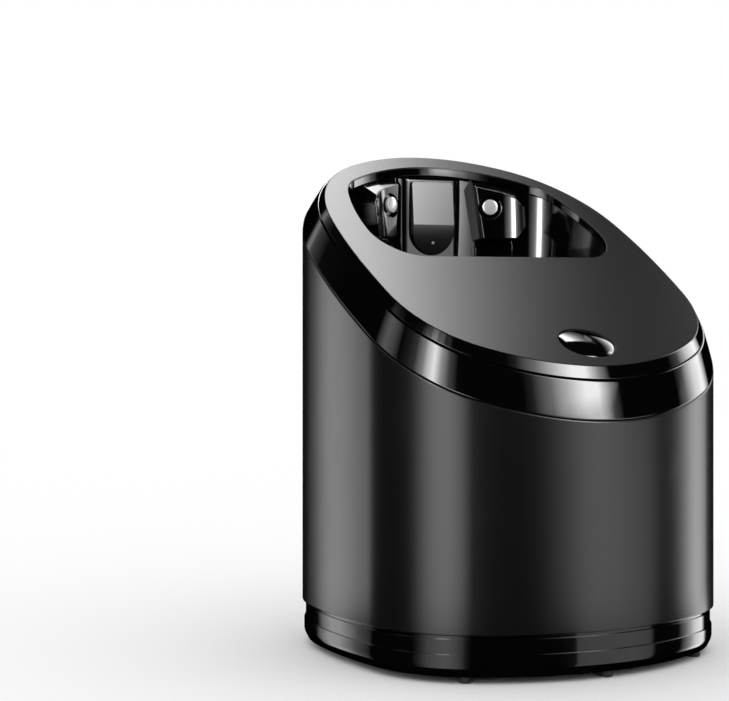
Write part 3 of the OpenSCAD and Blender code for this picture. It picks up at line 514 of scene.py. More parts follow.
def combined(body: Mesh, tool: Mesh, how: Carve) -> Mesh:
    """Combines two closed bodies.

    Args:
        body: The body to change; it is freed.
        tool: The body that cuts it or bounds it; it is freed.
        how: The way to combine them.

    Returns:
        The mesh of the result.
    """
    objects = []
    for mesh in (body, tool):
        bmesh.ops.recalc_face_normals(mesh, faces=mesh.faces)
        objects.append(shown("carve", mesh))
    modifier = objects[0].modifiers.new("carve", "BOOLEAN")
    modifier.operation = how.value
    modifier.solver = "EXACT"
    modifier.object = objects[1]
    evaluated = objects[0].evaluated_get(bpy.context.evaluated_depsgraph_get())
    data = bpy.data.meshes.new_from_object(evaluated)
    made = bmesh.new()
    made.from_mesh(data)
    bpy.data.meshes.remove(data)
    for obj in objects:
        mesh = obj.data
        bpy.data.objects.remove(obj)
        bpy.data.meshes.remove(mesh)
    return made


def finished(name: str, mesh: Mesh, finish: "Finish", body: Body | None, *nodes: str,
             slot: Slot | None = None) -> bpy.types.Object:
    """Turns a mesh into a piece of the station.

    Args:
        name: The piece's name.
        mesh: Its closed shells; it is freed.
        finish: Its finish.
        body: The body that it rides on, or None for a piece that is attached to no body.
        nodes: The CAD nodes that it stands for.
        slot: The slot that it stands for, where that isn't its finish's own; it is not used.

    Returns:
        The piece.
    """
    bmesh.ops.remove_doubles(mesh, verts=mesh.verts, dist=WELD)
    bmesh.ops.dissolve_degenerate(mesh, edges=mesh.edges, dist=WELD)
    bmesh.ops.recalc_face_normals(mesh, faces=mesh.faces)
    for face in mesh.faces:
        face.smooth = True
    for edge in mesh.edges:
        edge.smooth = len(edge.link_faces) == 2 and edge.calc_face_angle(0.0) < CREASE
    piece = shown(name, mesh)
    piece.data.materials.append(finish.material)
    flats = piece.modifiers.new("flats", "WEIGHTED_NORMAL")
    flats.keep_sharp = True
    flats.weight = FLAT_WEIGHT
    if body:
        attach(piece, body.value)
    (slot or finish.own_slot).value
    if nodes:
        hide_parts(*nodes)
    LOG.info("%s: %d faces, rides on %s", name, len(piece.data.polygons), body.value if body else "two bodies")
    return piece


# ---------- finishes ----------


class Recipe:
    """The node tree of one material."""

    def __init__(self, name: str) -> None:
        """Starts an empty tree under the given name."""
        self.material = bpy.data.materials.new(name)
        self.material.use_nodes = True
        self.tree = self.material.node_tree
        self.tree.nodes.clear()

    def node(self, kind: str, settings: dict[str, object] | None = None,
             inputs: dict[str | int, object] | None = None) -> bpy.types.ShaderNode:
        """Adds a node.

        Args:
            kind: The node's type.
            settings: Its properties, and under "stops" a ramp's places and grey levels.
            inputs: Values or links by socket name or number.

        Returns:
            The node.
        """
        made = self.tree.nodes.new(kind)
        for name, value in (settings or {}).items():
            if name == "stops":
                ramp = made.color_ramp.elements
                for spare in list(ramp)[2:]:
                    ramp.remove(spare)
                for i, (place, level) in enumerate(value):
                    stop = ramp[i] if i < len(ramp) else ramp.new(place)
                    stop.position, stop.color = place, (level, level, level, 1)
            else:
                setattr(made, name, value)
        for key, value in (inputs or {}).items():
            source = value.socket if isinstance(value, Signal) else value
            if isinstance(source, Socket):
                self.tree.links.new(source, made.inputs[key])
            else:
                made.inputs[key].default_value = source
        return made

    def place(self, stretch: Triple = (1, 1, 1)) -> Socket:
        """The point on the object, with each axis stretched."""
        place = self.node("ShaderNodeTexCoord").outputs["Object"]
        return self.node("ShaderNodeMapping", {}, {"Vector": place, "Scale": stretch}).outputs["Vector"]

    def noise(self, size: float, detail: float = 2, stretch: Triple = (1, 1, 1)) -> "Signal":
        """A soft noise from 0 to 1 whose cells have the given size."""
        inputs = {"Vector": self.place(stretch), "Scale": 1 / size, "Detail": detail}
        return Signal(self, self.node("ShaderNodeTexNoise", {}, inputs).outputs["Fac"])

    def shades(self, mask: "Signal", low: Sequence[float], high: Sequence[float]) -> Socket:
        """A colour that runs from low to high with the mask."""
        return self.mix(mask, (*low, 1), (*high, 1))

    def mix(self, mask: "Signal", low: Socket | tuple[float, ...], high: tuple[float, ...]) -> Socket:
        """The mixture of two colours, the second where the mask is 1."""
        return self.node("ShaderNodeMix", {"data_type": "RGBA"}, {0: mask, 6: low, 7: high}).outputs[2]

    def surface(self, inputs: dict[str, object]) -> Material:
        """Ends the tree in one Principled surface.

        Args:
            inputs: Values or links of the surface's sockets.

        Returns:
            The material.
        """
        shader = self.node("ShaderNodeBsdfPrincipled", {}, inputs)
        self.node("ShaderNodeOutputMaterial", {}, {"Surface": shader.outputs[0]})
        return self.material

    def bump(self, height: "Signal", depth: float) -> Socket:
        """The normal of a surface with the given relief."""
        inputs = {"Height": height, "Distance": depth, "Strength": 1.0}
        return self.node("ShaderNodeBump", {}, inputs).outputs["Normal"]


class Signal:
    """A number that changes over a surface; arithmetic on it adds the nodes that work it out."""

    def __init__(self, recipe: Recipe, socket: Socket) -> None:
        """Wraps a socket of a recipe's tree."""
        self.recipe, self.socket = recipe, socket

    def maths(self, operation: str, *values: "Signal | float", clamp: bool = False) -> "Signal":
        """The result of one operation on the given values."""
        settings = {"operation": operation, "use_clamp": clamp}
        node = self.recipe.node("ShaderNodeMath", settings, dict(enumerate(values)))
        return Signal(self.recipe, node.outputs[0])

    def __add__(self, other: "Signal | float") -> "Signal":
        """Sum."""
        return self.maths("ADD", self, other)

    def __sub__(self, other: "Signal | float") -> "Signal":
        """Difference."""
        return self.maths("SUBTRACT", self, other)

    def __rsub__(self, other: float) -> "Signal":
        """Difference, reflected."""
        return self.maths("SUBTRACT", other, self)

    def __mul__(self, other: "Signal | float") -> "Signal":
        """Product."""
        return self.maths("MULTIPLY", self, other)

    __radd__ = __add__
    __rmul__ = __mul__

    def step(self, low: float, high: float) -> "Signal":
        """0 below low, 1 above high and smooth between."""
        inputs = {"Value": self, "From Min": low, "From Max": high}
        node = self.recipe.node("ShaderNodeMapRange", {"interpolation_type": "SMOOTHSTEP"}, inputs)
        return Signal(self.recipe, node.outputs[0])


@dataclass(frozen=True)
class Finish:
    """A material, made when it is first used, and the slot that it stands for."""

    name: str
    colour: Triple
    roughness: float
    slot: Slot | None = None

    @property
    def own_slot(self) -> Slot:
        """The slot that is named, or else the one of the same name."""
        return self.slot or Slot(self.name)

    @cached_property
    def material(self) -> Material:
        """The material."""
        return self.made(Recipe(self.name))

    def made(self, recipe: Recipe) -> Material:
        """Builds the material in an empty recipe."""
        raise NotImplementedError


@dataclass(frozen=True)
class Moulding(Finish):
    """A moulded or coated surface: fine grain, a slow drift in tone and faint handling marks."""

    metallic: float = 0.0
    grain: float = 0.004 * MM
    grain_size: float = 0.35 * MM
    grain_gloss: float = 0.08
    cloud_size: float = 28 * MM
    drift: float = 0.08
    mark_size: float = 9 * MM
    mark_edge: Pair = (0.52, 0.78)
    smudge: float = 0.03
    coat: float = 0.0
    coat_roughness: float = 0.04
    specular: float = 0.5
    transmission: float = 0.0

    def made(self, recipe: Recipe) -> Material:
        """Builds the material in an empty recipe."""
        grain = recipe.noise(self.grain_size, detail=3)
        cloud = recipe.noise(self.cloud_size)
        marks = recipe.noise(self.mark_size, detail=4, stretch=(1, 1, 0.5)).step(*self.mark_edge)
        low = [c * (1 - self.drift) for c in self.colour]
        high = [c * (1 + self.drift) for c in self.colour]
        return recipe.surface({
            "Base Color": recipe.shades(cloud * 0.7 + grain * 0.3, low, high),
            "Roughness": (grain - 0.5) * self.grain_gloss + marks * self.smudge + self.roughness,
            "Metallic": self.metallic,
            "Specular IOR Level": self.specular,
            "Coat Weight": self.coat,
            "Coat Roughness": self.coat_roughness,
            "Transmission Weight": self.transmission,
            "Normal": recipe.bump(grain, self.grain),
        })


@dataclass(frozen=True)
class Metal(Finish):
    """A bright metal, turned or drawn so that fine lines run round or along it."""

    lines: float = 0.002 * MM
    stretch: Triple = (1, 1, 12)
    metallic: float = 1.0

    def made(self, recipe: Recipe) -> Material:
        """Builds the material in an empty recipe."""
        drawn = recipe.noise(0.5 * MM, detail=3, stretch=self.stretch)
        cloud = recipe.noise(6 * MM)
        low = [c * 0.93 for c in self.colour]
        return recipe.surface({
            "Base Color": recipe.shades(cloud, low, self.colour),
            "Roughness": (drawn - 0.5) * 0.1 + cloud * 0.04 + self.roughness,
            "Metallic": self.metallic,
            "Normal": recipe.bump(drawn, self.lines),
        })


@dataclass(frozen=True)
class Circuit(Finish):
    """A circuit board: tracks and pads under a green lacquer."""

    pitch: float = 1.6 * MM
    light: Triple = (0.02, 0.12, 0.045)
    pad: Triple = (0.62, 0.6, 0.55)
    pad_edge: Pair = (0.16, 0.2)
    track_edges: tuple[Pair, Pair] = ((0.5, 0.54), (0.62, 0.66))
    relief: float = 0.03 * MM

    def made(self, recipe: Recipe) -> Material:
        """Builds the material in an empty recipe."""
        settings = {"feature": "F1", "distance": "MANHATTAN"}
        inputs = {"Vector": recipe.place((1, 1, 0.2)), "Scale": 1 / self.pitch, "Randomness": 0.6}
        cells = Signal(recipe, recipe.node("ShaderNodeTexVoronoi", settings, inputs).outputs["Distance"])
        start, end = self.track_edges
        pads = 1 - cells.step(*self.pad_edge)
        tracks = cells.step(*start) * (1 - cells.step(*end))
        cloud = recipe.noise(5 * MM)
        lacquer = recipe.shades(tracks * 0.8 + cloud * 0.2, self.colour, self.light)
        return recipe.surface({
            "Base Color": recipe.mix(pads, lacquer, (*self.pad, 1)),
            "Roughness": cloud * 0.1 + self.roughness,
            "Metallic": pads * 0.8,
            "Normal": recipe.bump(tracks + pads, self.relief),
        })


SATIN_DARK = Moulding("satin_dark", (0.004, 0.004, 0.0042), 0.23, grain=0.0012 * MM, specular=0.6)
SATIN_TOP = replace(SATIN_DARK, name="satin_top", roughness=0.25, grain=0.002 * MM, smudge=0.008)
GLOSS_BLACK = Moulding("gloss_black", (0.0015, 0.0015, 0.0016), 0.05, grain=0.0001 * MM, grain_size=1.6 * MM,
                       smudge=0.02, coat=1.0, coat_roughness=0.02)
WELL_BLACK = Moulding("well_black", (0.002, 0.002, 0.0022), 0.1, Slot.GLOSS_BLACK, grain=0.0004 * MM,
                      grain_size=1.2 * MM, coat=0.9, coat_roughness=0.05)
BUTTON_BLACK = Moulding("button_black", (0.002, 0.002, 0.0022), 0.08, grain=0.0004 * MM,
                        grain_size=1.2 * MM, coat=1.0)
BASE_BLACK = Moulding("base_black", (0.0015, 0.0015, 0.0016), 0.06, Slot.GLOSS_BLACK, grain=0.0006 * MM,
                      grain_size=1.2 * MM, coat=0.5, coat_roughness=0.1)
ICON_GREY = Moulding("icon_grey", (0.09, 0.092, 0.095), 0.4, Slot.PLATE_GREY)
PLATE_GREY = Moulding("plate_grey", (0.006, 0.006, 0.0065), 0.17, grain=0.001 * MM, specular=1.0)
FOOT_RUBBER = Moulding("foot_rubber", (0.02, 0.02, 0.02), 0.75, grain=0.02 * MM, grain_size=0.6 * MM)
INNER_GREY = Moulding("inner_grey", (0.14, 0.14, 0.145), 0.5, grain=0.008 * MM)
DISH_BLACK = Moulding("dish_black", (0.02, 0.02, 0.022), 0.3, Slot.INNER_GREY, grain=0.003 * MM)
WHITE_PLASTIC = Moulding("white_plastic", (0.72, 0.72, 0.7), 0.4, grain=0.006 * MM)
CARTRIDGE = Moulding("cartridge_plastic", (0.62, 0.66, 0.68), 0.32, transmission=0.35)
LID_BLUE = Moulding("lid_blue", (0.03, 0.11, 0.3), 0.35, grain=0.006 * MM)
SENSOR = Moulding("sensor_lens", (0.3, 0.31, 0.32), 0.12, coat=1.0)
CHROME = Metal("contact_chrome", (0.9, 0.9, 0.91), 0.12, lines=0.0004 * MM, stretch=(1, 1, 1), metallic=0.3)
STEEL = Metal("steel", (0.62, 0.63, 0.65), 0.24)
CIRCUIT = Circuit("circuit_green", (0.006, 0.045, 0.018), 0.3)


# ---------- base ----------


@dataclass
class Base:
    """The base tray with its rim, lip, bosses and feet."""

    inset: float = 0.6 * MM
    rim_inset: float = 0.5 * MM
    rim_h: float = 4.5 * MM
    chamfer: float = 1.4 * MM
    floor: float = 3.0 * MM
    lip_inset: float = 3.0 * MM
    lip_wall: float = 2.0 * MM
    lip_h: float = 4.0 * MM
    foot_w: float = 3.6 * MM
    foot_l: float = 9.0 * MM
    foot_turns: tuple[int, ...] = (0, 34, 146, 180, 214, 326)
    boss_r: float = 4.2 * MM
    rod_r: float = 2.5 * MM
    rod_gap: float = 0.05 * MM
    ring_r: Pair = (50.6 * MM, 52 * MM)
    ring_y: float = -6.4 * MM
    ring_h: float = 3.5 * MM
    screw_head_r: float = 3.4 * MM
    screw_r: float = 1.55 * MM
    screw_at: tuple[Pair, ...] = ((40 * MM, -30 * MM), (24 * MM, 46 * MM))

    def tray(self) -> Mesh:
        """The tray's wall and floor as one closed shell."""
        s = STATION
        rim = self.inset + self.rim_inset
        under, rim_z = s.foot_h, s.base_top - self.rim_h
        floor_z, lip_z = under + self.floor, s.shell_z + self.lip_h
        tray = self.lip_inset + self.lip_wall

        def stop(inset: float, height: float, radius: float = 0.0) -> Stop:
            return Stop(inset, height, slanted=False, radius=radius)

        stops = eased([
            stop(self.inset + self.chamfer + 2 * MM, under),
            stop(self.inset + self.chamfer, under, 0.4 * MM),
            stop(self.inset, under + 2 * self.chamfer, 0.9 * MM),
            stop(self.inset, rim_z, 0.06 * MM),
            stop(rim, rim_z + 0.02 * MM, 0.04 * MM),
            stop(rim, s.base_top, 0.08 * MM),
            stop(rim + 0.5 * MM, s.base_top, 0.05 * MM),
            stop(rim + 0.5 * MM, s.shell_z - s.free_gap),
            stop(self.lip_inset, s.shell_z - s.free_gap),
            stop(self.lip_inset, lip_z, 0.4 * MM),
            stop(tray, lip_z, 0.4 * MM),
            stop(tray, floor_z, 0.8 * MM),
            stop(tray + 2 * MM, floor_z),
        ])
        return solid([[stop.place(p) for p in BODY.ring(stop.inset)] for stop in stops])

    def bosses(self) -> Mesh:
        """The sockets of the guide rods and the ring that centres the cartridge."""
        low = STATION.foot_h + self.floor - 0.5 * MM
        high = STATION.shell_z + self.lip_h
        edge, soft = 0.4 * MM, 0.3 * MM
        hole_r, hole_z = self.rod_r + self.rod_gap, low + MM
        profile = [(0, low), (self.boss_r, low), (self.boss_r, high - edge), (self.boss_r - edge, high),
                   (hole_r, high), (hole_r, hole_z), (0, hole_z)]
        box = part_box("guide_rods")[1]
        made = [turned(profile, shifted(side * (box.x - self.rod_r), box.y - self.rod_r)) for side in (-1, 1)]
        (inner, outer), top = self.ring_r, low + self.ring_h
        ring = [(inner, low), (outer, low), (outer, top - soft), (outer - soft, top), (inner + soft, top),
                (inner, top - soft), (inner, low)]
        return added(*made, turned(ring, shifted(0, self.ring_y), CARTRIDGE_STEPS))

    def screw_holes(self) -> Mesh:
        """The cutter for the four stepped screw holes under the tray."""
        under = STATION.foot_h
        low, step, high = under - MM, under + 1.6 * MM, under + self.floor + MM
        head, shank = self.screw_head_r, self.screw_r
        profile = [(0, low), (head, low), (head, step), (shank, step), (shank, high), (0, high)]
        return added(*(turned(profile, shifted(side * x, y), SCREW_STEPS)
                       for side in (-1, 1) for x, y in self.screw_at))

    def feet(self) -> Mesh:
        """The six feet, rounded where they touch the ground."""
        reach = self.inset + self.chamfer + self.foot_l / 2 + 0.6 * MM
        height, edge = STATION.foot_h, 0.5 * MM
        feet = []
        for degrees in self.foot_turns:
            turn = math.radians(degrees)
            at = BODY.point(turn, reach)
            local = shifted(*at) @ Matrix.Rotation(turn, 4, "Z")
            rings = []
            for shrink, z in ((edge, 0.0), (0.15 * MM, 0.15 * MM), (0.0, edge), (0.0, height)):
                outline = slot_shape(self.foot_l - 2 * shrink, self.foot_w - 2 * shrink)
                rings.append([local @ Vector((p.y, p.x, z)) for p in outline])
            feet.append(solid(rings))
        return added(*feet)

    def build(self) -> None:
        """Makes the tray and the feet."""
        tray = added(combined(self.tray(), self.screw_holes(), Carve.CUT), self.bosses())
        finished("tray", tray, BASE_BLACK, Body.BASE, "base_tray")
        finished("feet_pads", self.feet(), FOOT_RUBBER, Body.BASE, "feet")


# ---------- housing ----------


@dataclass
class Housing:
    """The dark satin wall and the gloss band above it."""

    wall: float = 2.4 * MM
    trim_wall: float = 2.2 * MM
    edge_round: float = 0.5 * MM
    trim_round: float = 0.45 * MM
    trim_swell: float = 0.08 * MM
    guide: float = 3.0 * MM
    boss_at: tuple[Pair, ...] = ((52 * MM, -24 * MM), (30 * MM, 49.4 * MM))
    boss_z: Pair = (57.05 * MM, 69 * MM)
    boss_r: float = 3.6 * MM
    bore_r: float = 1.55 * MM
    rib_reach: Pair = (2.6 * MM, 7 * MM)
    rib_half: float = 1.0 * MM
    windows: tuple[Triple, ...] = (
        (18.6 * MM, 9.6 * MM, 63.4 * MM), (16.6 * MM, 10.2 * MM, 27 * MM))

    def shell(self) -> Mesh:
        """The wall, level below and slanted above."""
        low, high = STATION.shell_z, STATION.edge_h
        stops = eased([
            Stop(self.wall, low, slanted=False),
            Stop(0, low, slanted=False, radius=self.edge_round),
            Stop(0, low + self.guide, slanted=False),
            Stop(0, high - self.guide),
            Stop(0, high, radius=self.edge_round),
            Stop(self.wall, high),
            Stop(self.wall, high - self.guide),
            Stop(self.wall, low + self.guide, slanted=False),
        ])
        return ring_body(BODY.ring, stops)

    def bosses(self) -> list[Mesh]:
        """The bored bosses that take the chassis screws, each with a rib to the wall."""
        (low, high), edge = self.boss_z, 0.3 * MM
        profile = [(self.bore_r, low), (self.boss_r, low), (self.boss_r, high - edge),
                   (self.boss_r - edge, high), (self.bore_r, high), (self.bore_r, low)]
        made = []
        for side in (-1, 1):
            for x, y in self.boss_at:
                at = Vector((side * x, y, 0))
                made.append(turned(profile, shifted(*at), SCREW_STEPS))
                out = at.normalized()
                across = Vector((-out.y, out.x, 0)) * self.rib_half
                start, end = (at + out * reach for reach in self.rib_reach)
                plan = [start - across, end - across, end + across, start + across]
                made.append(solid([[Vector((p.x, p.y, z)) for p in plan] for z in (low, high)]))
        return made

    def window(self, width: float, height: float, middle_z: float) -> Mesh:
        """A slot-shaped cutter through the rear wall."""
        outline, reach = slot_shape(width, height), STATION.depth / 2
        ends = (reach - 6 * MM, reach + 3 * MM)
        return solid([[Vector((p.x, y, middle_z + p.y)) for p in outline] for y in ends])

    def trim(self) -> Mesh:
        """The gloss band, which narrows upwards with a slight swell."""
        s = STATION
        low, high, steps = s.edge_h + s.seam_gap, s.trim_top, 6
        outer = []
        for i in range(steps + 1):
            share = i / steps
            swell = self.trim_swell * math.sin(math.pi * share)
            radius = self.trim_round if i in (0, steps) else 0.0
            outer.append(Stop(s.trim_inset * share - swell, low + (high - low) * share,
                              lean=s.trim_lean * share, radius=radius))
        inner = [Stop(s.trim_inset + self.trim_wall, high, lean=s.trim_lean), Stop(self.trim_wall, low)]
        return ring_body(BODY.ring, eased(outer + inner))

    def build(self) -> None:
        """Makes the wall with its rear windows, and the band."""
        wall = self.shell()
        for width, height, middle_z in self.windows:
            wall = combined(wall, self.window(width, height, middle_z), Carve.CUT)
        wall = added(wall, *self.bosses())
        finished("housing_wall", wall, SATIN_DARK, Body.HOUSING, "housing_shell")
        finished("gloss_band", self.trim(), GLOSS_BLACK, Body.HOUSING, "trim_ring")


# ---------- top ----------


@dataclass
class Top:
    """The satin top plate, its gloss rim and the gloss collar in its opening."""

    rim_w: float = 0.05 * MM
    rim_round: float = 0.1 * MM
    hole_round: float = 0.15 * MM
    lip_t: float = 0.5 * MM
    lip_w: float = 1.6 * MM
    seam: float = 0.03 * MM
    bezel_w: float = 1.2 * MM
    button_gap: float = 0.28 * MM
    button_w: float = 18.6 * MM
    button_l: float = 15.2 * MM
    button_at: float = -56.157 * MM
    post_at: tuple[Pair, ...] = ((17.5 * MM, -53.06 * MM), (20 * MM, -35.56 * MM))
    post_r: Pair = (1.1 * MM, 2.6 * MM)
    post_z: Triple = (-2.9 * MM, -1.9 * MM, -8.4 * MM)
    bezel_top: float = -0.55 * MM

    def rim(self) -> Mesh:
        """The rim between the joint line and the top plate."""
        s = STATION
        low = s.trim_top + s.seam_gap
        stops = eased([
            Stop(s.trim_inset + 1.6 * MM, low, lean=s.trim_lean),
            Stop(s.trim_inset + 0.5 * MM, low, lean=s.trim_lean + 0.1 * MM, radius=0.15 * MM),
            Stop(s.cover_inset - 0.1 * MM, s.top_h - 0.1 * MM, lean=s.cover_lean - 0.02 * MM,
                 radius=self.rim_round),
            Stop(s.cover_inset + 0.025 * MM, s.top_h, lean=s.cover_lean, radius=0.02 * MM),
            Stop(s.cover_inset + self.rim_w, s.top_h, lean=s.cover_lean),
            Stop(s.cover_inset + self.rim_w, s.top_h - s.plate_t, lean=s.cover_lean),
        ])
        return ring_body(BODY.ring, stops)

    def on_plate(self, width: float, length: float, off: float) -> list[Vector]:
        """An ellipse about the button, on or off the top plate."""
        return [STATION.on_top(p.x, self.button_at + p.y, off) for p in ellipse(width, length)]

    def plate(self) -> Mesh:
        """The top plate with its two openings, closed all round."""
        s = STATION
        edge = s.cover_inset + self.rim_w + self.seam
        low = s.top_h - s.plate_t
        mesh = bmesh.new()
        outer = [Stop(edge, low, lean=s.cover_lean), Stop(edge, s.top_h, lean=s.cover_lean, radius=0.05 * MM),
                 Stop(edge + MM, s.top_h, lean=s.cover_lean)]
        lip = s.top_h - self.lip_t
        hole = [Stop(-self.lip_w, low), Stop(-self.lip_w, lip), Stop(0, lip),
                Stop(0, s.top_h, radius=self.hole_round), Stop(-MM, s.top_h)]
        under, over = [], []
        for outline, stops in ((BODY.ring, outer), (MOUTH.ring, hole)):
            rings = [[stop.place(p) for p in outline(stop.inset)] for stop in eased(stops)[:-1]]
            shell = Shell(rings[0], mesh)
            under.append(list(shell.edges))
            over.append(shell.grow_all(rings[1:]))
        wide, long = self.button_w + 2 * self.bezel_w, self.button_l + 2 * self.bezel_w
        shell = Shell(self.on_plate(wide, long, -s.cover_wall), mesh)
        under.append(list(shell.edges))
        shell.grow(self.on_plate(wide, long, -self.lip_t))
        soft = 0.1 * MM
        wide, long = self.button_w + 2 * self.button_gap, self.button_l + 2 * self.button_gap
        over.append(shell.grow_all([
            self.on_plate(wide, long, -self.lip_t),
            self.on_plate(wide, long, -soft),
            self.on_plate(wide + soft / 2, long + soft / 2, -soft / 4),
            self.on_plate(wide + 2 * soft, long + 2 * soft, 0.0),
        ]))
        fill(mesh, [edge for ring in under for edge in ring])
        fill(mesh, [edge for shell in over for edge in shell.edges])
        return mesh

    def posts(self) -> list[Mesh]:
        """The bored posts under the plate that hold the switch board."""
        cos, sin = math.cos(STATION.tilt), math.sin(STATION.tilt)
        (roof, top, end), (bore_r, post_r), edge = self.post_z, self.post_r, 0.15 * MM
        profile = [(0, roof), (bore_r, roof), (bore_r, end), (post_r - edge, end), (post_r, end + edge),
                   (post_r, top), (0, top)]
        made = []
        for side in (-1, 1):
            for x, along in self.post_at:
                at = STATION.on_top(side * x, along)
                to_part = Matrix(((1, 0, 0, at.x), (0, cos, -sin, at.y), (0, sin, cos, at.z), (0, 0, 0, 1)))
                made.append(turned(profile, to_part, POST_STEPS))
        return made

    def collar(self) -> Mesh:
        """The gloss wall of the opening under the plate's lip."""
        s = STATION
        low, high = s.cradle_top + s.free_gap, s.top_h - self.lip_t - 0.05 * MM
        flange = 0.35 * MM
        stops = eased([
            Stop(0, low, radius=0.25 * MM),
            Stop(-self.lip_w - s.well_wall, low),
            Stop(-self.lip_w - s.well_wall, low + flange),
            Stop(-s.well_wall, low + flange),
            Stop(-s.well_wall, high),
            Stop(0, high),
        ])
        return ring_body(MOUTH.ring, stops)

    def bezel(self) -> Mesh:
        """The ring round the start button."""
        gap, out, low, high = STATION.free_gap, self.bezel_w - 0.1 * MM, -STATION.cover_wall, self.bezel_top
        edge = 0.15 * MM
        profile = [(gap, low), (gap, high - edge), (gap + edge, high), (out, high), (out, low)]
        return looped([self.on_plate(self.button_w + 2 * extra, self.button_l + 2 * extra, off)
                       for extra, off in profile])

    def build(self) -> None:
        """Makes the plate, the rim, the collar and the bezel."""
        plate = added(self.plate(), *self.posts())
        finished("top_plate", plate, SATIN_TOP, Body.HOUSING, "top_cover")
        finished("top_rim", self.rim(), GLOSS_BLACK, Body.HOUSING)
        finished("collar", self.collar(), GLOSS_BLACK, Body.HOUSING, "well_collar")
        finished("bezel", self.bezel(), GLOSS_BLACK, Body.HOUSING, "button_bezel", slot=Slot.BUTTON_BLACK)


@dataclass
class StartButton:
    """The domed start button with a water drop on it."""

    top: Top
    rise: float = 1.3 * MM
    flange_t: float = 1.8 * MM
    edge: float = 0.25 * MM
    drop_r: float = 1.15 * MM
    drop_l: float = 2.3 * MM
    drop_up: float = 0.03 * MM
    drop_taper: float = 0.45
    steps: int = 20

    def dome(self, share: float) -> float:
        """Height of the dome at a share of the button's half width."""
        return self.rise * (1 - share**2) - self.edge * share**16

    def cap(self) -> Mesh:
        """The cap with the flange that keeps it under the bezel."""
        wide, long = self.top.button_w, self.top.button_l
        low = -STATION.cover_wall - STATION.free_gap
        flange = 2 * self.top.bezel_w
        rings = [self.top.on_plate(wide + flange, long + flange, off) for off in (low - self.flange_t, low)]
        rings += [self.top.on_plate(wide, long, off) for off in (low, -self.edge)]
        for i in range(1, self.steps):
            share = 1 - (i / self.steps) ** 2
            rings.append(self.top.on_plate(wide * share, long * share, self.dome(share)))
        return solid(rings)

    def drop(self) -> Mesh:
        """A water drop that stands a little proud of the dome."""
        rings = []
        up = self.drop_up
        for grow, lift in ((1.0, -0.1 * MM), (1.0, up), (0.5, up), (0.1, up)):
            ring = []
            for i in range(ROUND_STEPS):
                a = math.tau * i / ROUND_STEPS
                over = max(0.0, math.sin(a))
                x = grow * self.drop_r * math.cos(a) * (1 - self.drop_taper * over)
                y = grow * (self.drop_r + (self.drop_l - self.drop_r) * over) * math.sin(a)
                share = math.hypot(2 * x / self.top.button_w, 2 * y / self.top.button_l)
                ring.append(STATION.on_top(x, self.top.button_at + y, self.dome(share) + lift))
            rings.append(ring)
        return solid(rings)

    def build(self) -> None:
        """Makes the cap and the drop."""
        finished("start_cap", self.cap(), BUTTON_BLACK, Body.START_BUTTON, "start_button")
        finished("start_drop", self.drop(), ICON_GREY, Body.START_BUTTON)


# ---------- cradle ----------


